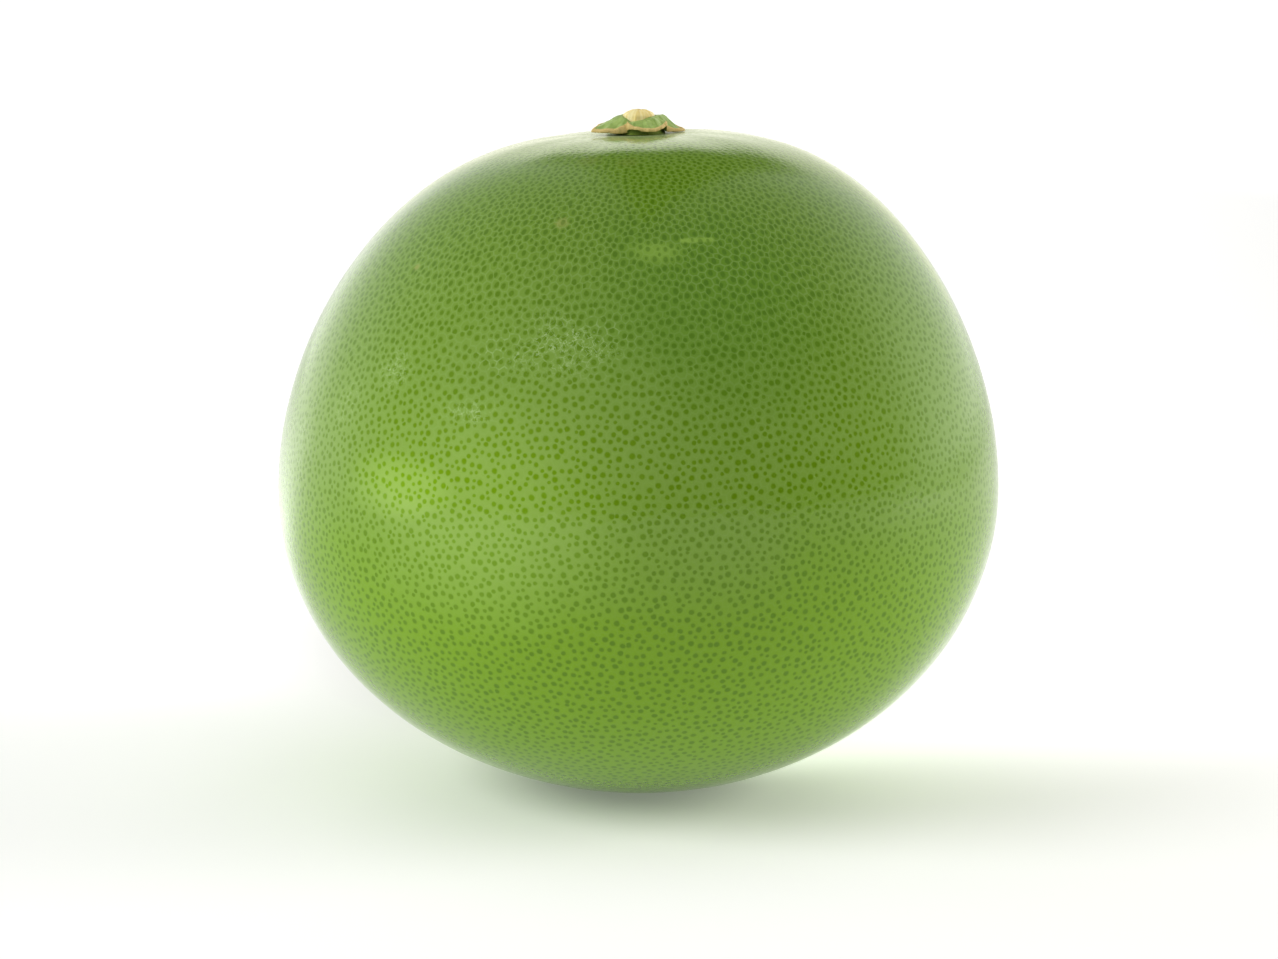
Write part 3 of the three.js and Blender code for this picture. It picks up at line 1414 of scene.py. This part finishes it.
@dataclass(frozen=True)
class Rim:
    """The calyx's rim at one azimuth, and how near that is to a sepal's middle."""

    out: float
    height: float
    share: float
    hump: float
    dip: float


@dataclass(frozen=True)
class CalyxFinish:
    """The look of the calyx: green flesh with a dry tan edge.

    A pair that ends in `_from` gives where a smooth change starts and where it ends.
    """

    flesh: Colour = srgb(136, 164, 78)
    light: Colour = srgb(166, 192, 106)
    dark: Colour = srgb(84, 116, 24)
    dry: Colour = srgb(216, 192, 126)
    burnt: Colour = srgb(164, 122, 58)
    neck: Colour = srgb(108, 128, 50)
    cloudy: Cloud = Cloud(2.4 * MM, 3.0, 0.55, 0.3)
    fine: Cloud = Cloud(0.35 * MM, 3.0, 0.6)
    light_from: tuple[float, float] = (0.35, 0.7)
    vein_share: float = 0.18
    speckle_from: tuple[float, float] = (0.55, 0.75)
    speckle_share: float = 0.25
    dry_from: tuple[float, float] = (0.84, 0.97)
    dry_sway: float = 0.2
    dry_raggedness: float = 0.15
    burnt_from: tuple[float, float] = (0.5, 0.75)
    burnt_share: float = 0.6
    roughness: float = 0.36
    dry_roughness: float = 0.3
    ior: float = 1.4
    grain: float = 0.05 * MM
    swell: float = 0.12 * MM

    def material(self) -> bpy.types.Material:
        """Builds the finish.

        Returns:
            The material.
        """
        graph = MaterialTree("Green calyx with dry edges")
        under, vein = graph.stored("under"), graph.stored("vein")
        cloudy = graph.noise(graph.place, self.cloudy)
        fine = graph.noise(graph.place, self.fine)
        colour = graph.mix(step(cloudy, *self.light_from), self.flesh, self.light)
        colour = graph.mix(vein * self.vein_share, colour, self.dark)
        speckles = step(fine, *self.speckle_from) * self.speckle_share
        colour = graph.mix(speckles, colour, self.dark)
        colour = graph.mix(under, colour, self.neck)
        sway = (cloudy - 0.5) * self.dry_sway + (fine - 0.5) * self.dry_raggedness
        dry = step(graph.stored("rim") + sway, *self.dry_from)
        burnt = step(fine, *self.burnt_from) * self.burnt_share
        colour = graph.mix(dry, colour, graph.mix(burnt, self.dry, self.burnt))
        relief = fine * self.grain + cloudy * self.swell - vein * self.grain
        sockets = {
            "Base Color": colour,
            "Roughness": self.roughness + larger(dry, under) * self.dry_roughness,
            "IOR": self.ior,
            "Normal": graph.bump(relief),
        }
        return graph.finished(sockets)


@dataclass(frozen=True)
class Calyx:
    """The star of sepals that sits on the crown round the stalk."""

    skin: Skin
    finish: CalyxFinish = CalyxFinish()
    height: float = 4.4 * MM
    neck_radius: float = 5.8 * MM
    neck_flare: float = 0.25 * MM
    neck_waist: float = 0.2 * MM
    collar_radius: float = 4.1 * MM
    sinus_radius: float = 6.2 * MM
    sinus_height: float = 3.8 * MM
    notch_depth: float = 0.5 * MM
    notch_share: float = 0.5

    # The top dips in front of the stalk, and less so at the notches between sepals.
    dip: float = 1.05 * MM
    dip_towards: float = 259.0
    dip_half_width: float = 42.0
    notch_dip: float = 0.4

    fall_power: float = 1.35
    shoulder: tuple[float, float] = (0.2, 0.9)
    middle_thickness: float = 1.25 * MM
    edge_thickness: float = 0.8 * MM
    notch_thickness: float = 2.3 * MM
    socket_radius: float = 4.0 * MM
    socket_depth: float = 1.3 * MM
    sink: float = 0.12 * MM
    clearance: float = 0.12 * MM
    meridians: int = 360
    top_rings: int = 34
    edge_rings: int = 5
    under_rings: int = 18
    neck_rings: int = 6

    # How calm the rim is at a notch and the top is at its inner and outer edge.
    notch_calm: float = 0.3
    edge_calm: float = 0.4
    crease_depth: float = 0.1 * MM
    crease_width: float = 0.35
    roll_height: float = 0.25 * MM
    roll_from: tuple[float, float] = (0.8, 1.0)
    vein_count: int = 26
    vein_bend: float = 3.0
    vein_sharpness: int = 6

    # How dark the rim's edge and the inner half of the underside are, 1 being the neck's
    # green, and how quickly the dry edge ends on the underside.
    edge_under: float = 0.3
    lip_under: float = 0.4
    under_spread: float = 2.0
    dry_fade: float = 2.5

    RAGGED = Uneven(1.0, 5.1, (3.7, 0.0, 1.3))
    NICKS = Uneven(1.0, 17.0, (0.0, 8.1, 2.9))
    RAGGED_OUT = 0.35 * MM
    NICKS_OUT = 0.14 * MM
    RAGGED_UP = 0.25 * MM
    NICKS_UP = 0.1 * MM
    LUMPS = Uneven(0.34 * MM, 0.55 / MM, (0.0, 0.0, 4.2))
    GRAIN = Uneven(0.1 * MM, 1.9 / MM, (0.0, 0.0, 9.4))
    SEPALS = (
        Sepal(200, 11.6 * MM, 1.05 * MM, 46, 1.3, 0.38, 0.0, 0.6 * MM),
        Sepal(293, 8.9 * MM, 1.5 * MM, 49, 0.65, 0.4, 0.4, -0.25 * MM),
        Sepal(5, 10.4 * MM, 1.05 * MM, 46, 1.4, 0.5, 1.0, -0.3 * MM),
        Sepal(70, 10.0 * MM, 1.4 * MM, 38, 1.05, 0.6, 0.7, 0.0),
        Sepal(134, 10.6 * MM, 1.2 * MM, 38, 1.2, 0.6, 0.3, 0.0),
    )

    @staticmethod
    def turned(azimuth: float, towards: float, half_width: float) -> float:
        """How far an azimuth is off a direction in degrees, as a share of a half width."""
        turn = azimuth - math.radians(towards)
        return math.atan2(math.sin(turn), math.cos(turn)) / math.radians(half_width)

    def rim(self, azimuth: float) -> Rim:
        """Finds the calyx's rim before it is made ragged.

        Args:
            azimuth: Where it is, in radians round from +X.

        Returns:
            The rim there.
        """
        off = self.turned(azimuth, self.dip_towards, self.dip_half_width)
        dip = self.dip * math.exp(-(off**2))
        notch = self.sinus_height - dip * self.notch_dip
        found = Rim(self.sinus_radius, notch, 0.0, 0.0, dip)
        for sepal in self.SEPALS:
            off = self.turned(azimuth, sepal.towards, sepal.half_width)
            side = min(1.0, abs(off))
            share = (1 - side) ** sepal.point
            reach = between(self.sinus_radius, sepal.reach, share)
            if reach > found.out:
                drop = (1 - side) ** sepal.droop
                height = between(self.sinus_height, sepal.tip_height, drop)
                height -= sepal.twist * math.sin(math.pi * side) * math.copysign(1.0, off)
                near = min(1.0, share / self.notch_share)
                found = Rim(reach, height, near, sepal.hump * near, dip)
        return found

    def ragged_rim(self, way: Vector, plain: Rim) -> Rim:
        """Makes the rim ragged.

        Args:
            way: The direction of the rim from the axis.
            plain: The rim there.

        Returns:
            The ragged rim.
        """
        free = between(self.notch_calm, 1.0, plain.share)
        ragged, nicks = self.RAGGED.at(way), self.NICKS.at(way)
        return replace(
            plain,
            out=plain.out + (ragged * self.RAGGED_OUT + nicks * self.NICKS_OUT) * free,
            height=plain.height + ragged * self.RAGGED_UP + nicks * self.NICKS_UP,
        )

    def top(self, out: float, rim: Rim) -> float:
        """Height of the upper face above the skin at the axis.

        Args:
            out: How far from the axis it is.
            rim: The rim in that direction.

        Returns:
            The height.
        """
        along = (out - self.collar_radius) / (rim.out - self.collar_radius)
        along = min(1.0, max(0.0, along))
        drop = between(along**self.fall_power, float(step(along, *self.shoulder)), rim.hump)
        collar = self.height - rim.dip - self.notch_depth * (1 - rim.share) ** 2
        return between(collar, rim.height, drop)

    def relief(self, place: Vector, share: float, rim: Rim) -> float:
        """How far the upper face stands out of its plain form.

        Args:
            place: Where it is, seen from above.
            share: How far it is from the socket to the rim.
            rim: The rim in that direction.

        Returns:
            The height to add.
        """
        calm = between(self.edge_calm, 1.0, math.sin(math.pi * share))
        crease = rim.share * math.exp(-(((share - 0.5) / self.crease_width) ** 2))
        roll = self.roll_height * float(step(share, *self.roll_from))
        lumps = self.LUMPS.at(place) + self.GRAIN.at(place)
        return lumps * calm - crease * self.crease_depth + roll

    def mesh(self) -> bpy.types.Mesh:
        """Builds the closed surface from the socket round to the base.

        Returns:
            The mesh.
        """
        skin = self.skin.height_near_stem(0.0)
        base = self.skin.height_near_stem(self.neck_radius) - self.sink
        floor = skin + self.height - self.socket_depth
        turn = 2 * math.pi / self.meridians
        columns = [self._column(turn * i, skin, base, floor) for i in range(self.meridians)]
        first = Spot((0.0, 0.0, floor), {"rim": 0.0, "under": 0.0, "vein": 0.0})
        last = Spot((0.0, 0.0, base), {"rim": 0.0, "under": 1.0, "vein": 0.0})
        return ringed_mesh("Calyx", [[first], *zip(*columns), [last]])

    def _column(self, azimuth: float, skin: float, base: float, floor: float) -> list[Spot]:
        """One meridian's points, from the socket's foot to the neck's.

        Args:
            azimuth: The meridian, in radians.
            skin: Height of the fruit's skin at the axis.
            base: Height of the calyx's base.
            floor: Height of the socket's floor.

        Returns:
            The points. "rim" marks how near each is to the rim, "under" how far it is on
            the underside and "vein" how strongly a vein runs there.
        """
        way = Vector((math.cos(azimuth), math.sin(azimuth), 0.0))
        rim = self.ragged_rim(way, self.rim(azimuth))
        wave = math.cos(azimuth * self.vein_count + self.vein_bend * self.RAGGED.at(way))
        vein = max(0.0, wave) ** self.vein_sharpness * rim.share
        column = []

        def add(out: float, height: float, edge: float, under: float) -> None:
            """Adds a point of the meridian."""
            marks = {"rim": edge, "under": under, "vein": vein}
            column.append(Spot((way.x * out, way.y * out, height), marks))

        add(self.socket_radius, floor, 0.0, 0.0)
        edge = rim.out - self.edge_thickness / 3
        for ring in range(self.top_rings):
            share = ring / (self.top_rings - 1)
            out = between(self.socket_radius, edge, share)
            height = skin + self.top(out, rim) + self.relief(way * out, share, rim)
            add(out, height, share, 0.0)
        lip_height = column[-1].place[2]
        lip = between(self.notch_thickness, self.edge_thickness, rim.share)
        for ring in range(self.edge_rings):
            turn = math.pi * (ring + 1) / (self.edge_rings + 1)
            half = lip / 2
            out = edge + math.sin(turn) * self.edge_thickness / 3
            lowest = self.skin.height_near_stem(out) + self.clearance
            height = max(lowest, lip_height - half + math.cos(turn) * half)
            add(out, height, 1.0, ring / self.edge_rings * self.edge_under)
        for ring in range(self.under_rings):
            share = ring / (self.under_rings - 1)
            out = between(edge, self.neck_radius, share)
            thick = between(lip, max(lip, self.middle_thickness), share)
            height = skin + self.top(out, rim) - thick
            height += (lip_height - skin - rim.height) * (1 - share)
            lowest = self.skin.height_near_stem(out) + self.clearance * (1 - share)
            under = between(self.lip_under, 1.0, min(1.0, share * self.under_spread))
            add(out, max(lowest, height), max(0.0, 1 - share * self.dry_fade), under)
        foot = column[-1].place[2]
        for ring in range(1, self.neck_rings + 1):
            share = ring / self.neck_rings
            out = self.neck_radius + self.neck_flare * share**2
            out -= self.neck_waist * math.sin(math.pi * share)
            add(out, between(foot, base, share), 0.0, 1.0)
        return column

    def build(self) -> bpy.types.Object:
        """Builds the calyx and dresses it.

        Returns:
            The calyx.
        """
        mesh = self.mesh()
        mesh.materials.append(self.finish.material())
        calyx = show("pomelo_calyx", mesh)
        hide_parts("calyx")
        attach(calyx, "root")
        return calyx


# ---- the stalk ------------------------------------------------------------------------


@dataclass(frozen=True)
class StalkFinish:
    """The look of the cut stalk: pale dry wood with brown streaks.

    A pair that ends in `_from` gives where a smooth change starts and where it ends.
    """

    wood: Colour = srgb(234, 212, 132)
    light: Colour = srgb(248, 236, 178)
    streak: Colour = srgb(198, 160, 84)
    crack: Colour = srgb(150, 108, 46)
    streaks: Cloud = Cloud(1.5 * MM, 3.0, 0.55, 0.2)
    cracks: Cloud = Cloud(0.8 * MM, 2.0, 0.5, 0.3)
    cloudy: Cloud = Cloud(1.6 * MM, 3.0, 0.6)
    streak_length: float = 0.12
    wood_from: tuple[float, float] = (0.38, 0.6)
    streak_from: tuple[float, float] = (0.54, 0.66)
    streak_share: float = 0.75
    crack_from: tuple[float, float] = (0.68, 0.74)
    crack_share: float = 0.9
    crack_dent_from: tuple[float, float] = (0.66, 0.76)
    pith_from: tuple[float, float] = (0.34, 0.2)
    pith_sway: float = 0.2
    pith_share: float = 0.5
    streak_ridge: float = 0.2 * MM
    swell: float = 0.1 * MM
    crack_depth: float = 0.1 * MM
    roughness: float = 0.62
    cloudy_roughness: float = 0.2

    def material(self, radius: float) -> bpy.types.Material:
        """Builds the finish.

        Args:
            radius: The stalk's radius, which the streaks are spaced round.

        Returns:
            The material.
        """
        graph = MaterialTree("Dry cut stalk")
        place = graph.place
        round_it = (place * (1.0, 1.0, 0.0)).unit() * radius
        round_it = round_it + place * (0.0, 0.0, self.streak_length)
        streaks = graph.noise(round_it, self.streaks)
        cracks = graph.noise(round_it, self.cracks)
        cloudy = graph.noise(place, self.cloudy)
        colour = graph.mix(step(streaks, *self.wood_from), self.light, self.wood)
        streak = step(streaks, *self.streak_from) * self.streak_share
        colour = graph.mix(streak, colour, self.streak)
        crack = step(cracks, *self.crack_from) * self.crack_share
        colour = graph.mix(crack, colour, self.crack)
        middle = graph.stored("across") + (cloudy - 0.5) * self.pith_sway
        pith = step(middle, *self.pith_from) * self.pith_share
        colour = graph.mix(pith, colour, self.streak)
        relief = streaks * self.streak_ridge + cloudy * self.swell
        relief = relief - step(cracks, *self.crack_dent_from) * self.crack_depth
        sockets = {
            "Base Color": colour,
            "Roughness": self.roughness + (cloudy - 0.5) * self.cloudy_roughness,
            "Normal": graph.bump(relief),
        }
        return graph.finished(sockets)


@dataclass(frozen=True)
class Stalk:
    """The stub of the cut stalk, a short post with a rounded end, standing in the calyx."""

    skin: Skin
    calyx: Calyx
    finish: StalkFinish = StalkFinish()
    radius: float = 3.55 * MM
    top_height: float = 5.8 * MM
    dome_height: float = 2.0 * MM
    dome_power: float = 2.05
    root: float = 0.3 * MM
    out_of_round: float = 0.04
    end_power: int = 4
    meridians: int = 144
    dome_rings: int = 22
    side_rings: int = 10

    FOLDS = Uneven(0.3 * MM, 2.6, (1.1, 2.2, 0.0))
    FIBRE = Uneven(0.14 * MM, 8.0, (5.5, 0.0, 0.4))
    LUMPS = Uneven(0.3 * MM, 0.7 / MM, (0.0, 0.0, 7.7))
    SPLINTERS = Uneven(0.12 * MM, 2.2 / MM, (0.0, 0.0, 3.3))

    def mesh(self) -> bpy.types.Mesh:
        """Builds the closed stub from the top of its end down to its foot.

        Returns:
            The mesh.
        """
        skin = self.skin.height_near_stem(0.0)
        foot = skin + self.calyx.height - self.calyx.socket_depth
        top = skin + self.top_height
        profile = []
        for ring in range(1, self.dome_rings + 1):
            turn = math.pi / 2 * ring / self.dome_rings
            share = math.sin(turn) ** (2 / self.dome_power)
            down = 1 - max(0.0, math.cos(turn)) ** (2 / self.dome_power)
            profile.append((share, self.radius * share, top - self.dome_height * down))
        shoulder = top - self.dome_height
        for ring in range(1, self.side_rings + 1):
            down = ring / self.side_rings
            profile.append((1.0, self.radius + self.root * down, between(shoulder, foot, down)))
        rings = [[Spot((0.0, 0.0, top), {"across": 0.0})]]
        turns = [2 * math.pi * i / self.meridians for i in range(self.meridians)]
        for share, out, height in profile:
            rings.append([self._spot(turn, share, out, height) for turn in turns])
        rings.append([Spot((0.0, 0.0, foot), {"across": 1.0})])
        return ringed_mesh("Stalk", rings)

    def _spot(self, azimuth: float, share: float, out: float, height: float) -> Spot:
        """A point of the stub, with its wood's folds and splinters.

        Args:
            azimuth: Where it is round the stub, in radians.
            share: How near it is to the stub's side.
            out: How far it is from the axis before the folds.
            height: How high it is before the splinters.

        Returns:
            The point.
        """
        way = Vector((math.cos(azimuth), math.sin(azimuth), 0.0))
        out *= 1 + self.out_of_round * math.cos(2 * azimuth)
        place = way * (out + (self.FOLDS.at(way) + self.FIBRE.at(way)) * share)
        height += (self.LUMPS.at(place) + self.SPLINTERS.at(place)) * (1 - share**self.end_power)
        return Spot((place.x, place.y, height), {"across": share})

    def build(self) -> bpy.types.Object:
        """Builds the stub and dresses it.

        Returns:
            The stub.
        """
        mesh = self.mesh()
        mesh.materials.append(self.finish.material(self.radius))
        stalk = show("pomelo_stalk", mesh)
        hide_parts("stalk")
        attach(stalk, "root")
        return stalk


# ---- the studio -----------------------------------------------------------------------


# Multiplied by a vector, this takes its height away.
LEVEL = (1.0, 1.0, 0.0)


def direction(azimuth: float, elevation: float) -> Vector:
    """A direction from the fruit.

    Args:
        azimuth: Degrees round, 0 being the side that the camera is on.
        elevation: Degrees up.

    Returns:
        The direction, of length 1.
    """
    turn, rise = math.radians(azimuth), math.radians(elevation)
    out = math.cos(rise)
    return Vector((math.sin(turn) * out, -math.cos(turn) * out, math.sin(rise)))


@dataclass(frozen=True)
class Lamp:
    """A soft light: a round panel that faces the fruit and isn't mirrored in it."""

    name: str
    azimuth: float
    elevation: float
    distance: float
    size: float
    watts: float
    colour: tuple[float, float, float] = (1.0, 1.0, 1.0)


@dataclass(frozen=True)
class Glow:
    """A brighter or darker part of the surround or the floor, fading off all round."""

    azimuth: float
    elevation: float
    reach: float
    amount: float

    def at(self, way: Value) -> Value:
        """How much it adds in a direction."""
        middle = direction(self.azimuth, self.elevation)
        return bell((way - tuple(middle)).length(), self.reach) * self.amount


def glowing(start: Number, glows: Sequence[Glow], way: Value) -> Number:
    """Adds glows to a plain brightness.

    Args:
        start: The plain brightness.
        glows: The glows.
        way: The direction from the fruit.

    Returns:
        The brightness in that direction.
    """
    total = start
    for glow in glows:
        total = total + glow.at(way)
    return total


@dataclass(frozen=True)
class Surround:
    """The pale walls that the fruit stands among: bright behind it and dark on our side.

    A roof starts low over the back wall and higher over the side walls. A pair that ends in
    `_from` gives where a change starts and ends, as shares of a direction's length.
    """

    colour: Colour = (1.0, 1.0, 0.98, 1.0)
    back_colour: Colour = (1.0, 0.99, 0.85, 1.0)
    brightness: float = 1.3
    left_loss: float = 0.2
    right_gain: float = 0.29
    walls_from: tuple[float, float] = (-0.2, 0.46)
    back_azimuth: float = 175.0
    back_wall_from: tuple[float, float] = (0.927, 0.985)
    side_roof_from: tuple[float, float] = (0.05, 1.0)
    side_roof: float = 0.64
    back_roof_from: tuple[float, float] = (0.4, 0.56)
    back_roof: float = 0.12
    WINDOWS = (
        Glow(-142.0, 2.0, 0.3, 0.76),
        Glow(-159.0, 6.0, 0.2, 0.15),
        Glow(180.0, 9.0, 0.26, 0.12),
        Glow(-170.0, 28.0, 0.18, 0.35),
        Glow(145.0, 38.0, 0.26, 0.5),
    )

    def build(self) -> bpy.types.World:
        """Builds the world.

        Returns:
            The world.
        """
        world = bpy.data.worlds.new("Pale surround")
        world.use_nodes = True
        world.node_tree.nodes.clear()
        graph = Graph(world.node_tree)
        way = graph.value("ShaderNodeTexCoord", {}, {}, "Generated").unit()
        x, y, z = way.parts()
        sides = 1.0 + larger(x, 0.0) * self.right_gain - larger(-x, 0.0) * self.left_loss
        walls = step(y, *self.walls_from) * sides * self.brightness
        walls = glowing(walls, self.WINDOWS, way)
        at_side = between(walls, self.side_roof, step(z, *self.side_roof_from))
        at_back = between(walls, self.back_roof, step(z, *self.back_roof_from))
        towards_back = (way * LEVEL).unit().dot(tuple(direction(self.back_azimuth, 0.0)))
        behind = step(towards_back, *self.back_wall_from)
        sockets = {
            "Color": graph.mix(behind, self.colour, self.back_colour),
            "Strength": between(at_side, at_back, behind),
        }
        sky = graph.node("ShaderNodeBackground", {}, sockets)
        graph.node("ShaderNodeOutputWorld", {}, {"Surface": sky.outputs[0]})
        return world


@dataclass(frozen=True)
class Studio:
    """The camera, the lights and the pale floor.

    The floor glows a little, as a sheet does that is lit from below. It has one brightness
    near the fruit, one further off and one at the horizon, and glows and shades vary them by
    direction. A pair that ends in `_from` gives the distances between which one passes into
    the next.
    """

    skin: Skin
    surround: Surround = Surround()
    lens: float = 100.0
    sensor: float = 36.0
    elevation: float = 10.0
    distance: float = 0.818
    aim_above_middle: float = 1.6 * MM
    floor_radius: float = 14.0
    floor_sides: int = 96
    floor_roughness: float = 0.9
    floor_gloss: float = 0.1
    floor_colour: Colour = srgb(242, 242, 242)
    shade_colour: Colour = srgb(120, 120, 120)
    near_glow: float = 0.17
    far_glow: float = 0.36
    far_from: tuple[float, float] = (0.08, 0.38)
    horizon_glow: float = 0.55
    horizon_from: tuple[float, float] = (0.8, 1.8)
    NEAR_GLOWS = (Glow(125.0, 0.0, 0.5, 0.4), Glow(-158.0, 0.0, 0.3, -0.16))
    FAR_GLOWS = (
        Glow(-137.0, 0.0, 0.26, 1.1),
        Glow(-163.0, 0.0, 0.2, -0.06),
        Glow(-90.0, 0.0, 0.5, -0.4),
        Glow(-20.0, 0.0, 0.6, -0.3),
        Glow(180.0, 0.0, 0.3, 0.22),
        Glow(120.0, 0.0, 0.3, -0.15),
        Glow(155.0, 0.0, 0.22, -0.1),
    )
    NEAR_SHADES = (Glow(-155.0, 0.0, 0.35, 0.3),)
    FAR_SHADES = (
        Glow(-70.0, 0.0, 0.5, 0.5),
        Glow(0.0, 0.0, 0.5, 0.4),
        Glow(58.0, 0.0, 0.5, 0.5),
    )
    LAMPS = (
        Lamp("Left softbox", -65, 28, 1.0, 0.6, 6.4),
        Lamp("Right softbox", 90, 15, 1.0, 0.6, 5.35, (1.0, 0.94, 0.92)),
    )

    @staticmethod
    def aim(thing: bpy.types.Object, target: Vector, back: Vector, distance: float) -> None:
        """Puts a camera or a lamp in the scene, facing a target.

        Args:
            thing: The camera or lamp.
            target: What it faces.
            back: The direction from the target to it.
            distance: How far off it is.
        """
        thing.location = target + back * distance
        thing.rotation_euler = (-back).to_track_quat("-Z", "Y").to_euler()
        bpy.context.scene.collection.objects.link(thing)

    def camera(self) -> None:
        """Makes the camera."""
        data = bpy.data.cameras.new("Camera")
        data.lens = self.lens
        data.sensor_width = self.sensor
        camera = bpy.data.objects.new("Camera", data)
        target = Vector((0.0, 0.0, self.skin.middle_height() + self.aim_above_middle))
        self.aim(camera, target, direction(0.0, self.elevation), self.distance)
        bpy.context.scene.camera = camera

    def lights(self) -> None:
        """Makes the two softboxes and the pale surround."""
        middle = Vector((0.0, 0.0, self.skin.middle_height()))
        for lamp in self.LAMPS:
            data = bpy.data.lights.new(lamp.name, "AREA")
            data.shape = "DISK"
            data.size = lamp.size
            data.energy = lamp.watts
            data.color = lamp.colour
            light = bpy.data.objects.new(lamp.name, data)
            light.visible_glossy = False
            self.aim(light, middle, direction(lamp.azimuth, lamp.elevation), lamp.distance)
        bpy.context.scene.world = self.surround.build()

    def paper(self) -> bpy.types.Material:
        """Builds the floor's finish.

        Returns:
            The material.
        """
        graph = MaterialTree("Pale floor")
        flat = graph.place * LEVEL
        distance, way = flat.length(), flat.unit()
        share = step(distance, *self.far_from)
        horizon = step(distance, *self.horizon_from)
        near = glowing(self.near_glow, self.NEAR_GLOWS, way)
        far = glowing(self.far_glow, self.FAR_GLOWS, way)
        near_shade = glowing(0.0, self.NEAR_SHADES, way)
        far_shade = glowing(0.0, self.FAR_SHADES, way) * (1.0 - horizon)
        shade = between(near_shade, far_shade, share)
        sockets = {
            "Base Color": graph.mix(shade, self.floor_colour, self.shade_colour),
            "Roughness": self.floor_roughness,
            "Specular IOR Level": self.floor_gloss,
            "Emission Color": larger(between(near, far, share), horizon * self.horizon_glow),
            "Emission Strength": 1.0,
        }
        return graph.finished(sockets)

    def floor(self) -> None:
        """Makes the floor."""
        turns = np.arange(self.floor_sides) * (2 * math.pi / self.floor_sides)
        ring = np.stack([np.cos(turns), np.sin(turns), np.zeros(self.floor_sides)], axis=1)
        mesh = plain_mesh("Floor", ring * self.floor_radius, [tuple(range(self.floor_sides))])
        mesh.materials.append(self.paper())
        show("Floor", mesh)


def main() -> None:
    """Builds the studio and the pomelo, and logs each piece's faces."""
    logging.basicConfig(level=logging.INFO, format="%(name)s %(message)s")
    bpy.context.scene.view_settings.view_transform = VIEW_TRANSFORM
    skin = Skin()
    studio = Studio(skin)
    studio.camera()
    studio.lights()
    studio.floor()
    calyx = Calyx(skin)
    for part in (Rind(skin), calyx, Stalk(skin, calyx)):
        piece = part.build()
        LOG.info("%s: %d faces", piece.name, len(piece.data.polygons))


if __name__ == "__main__":
    main()
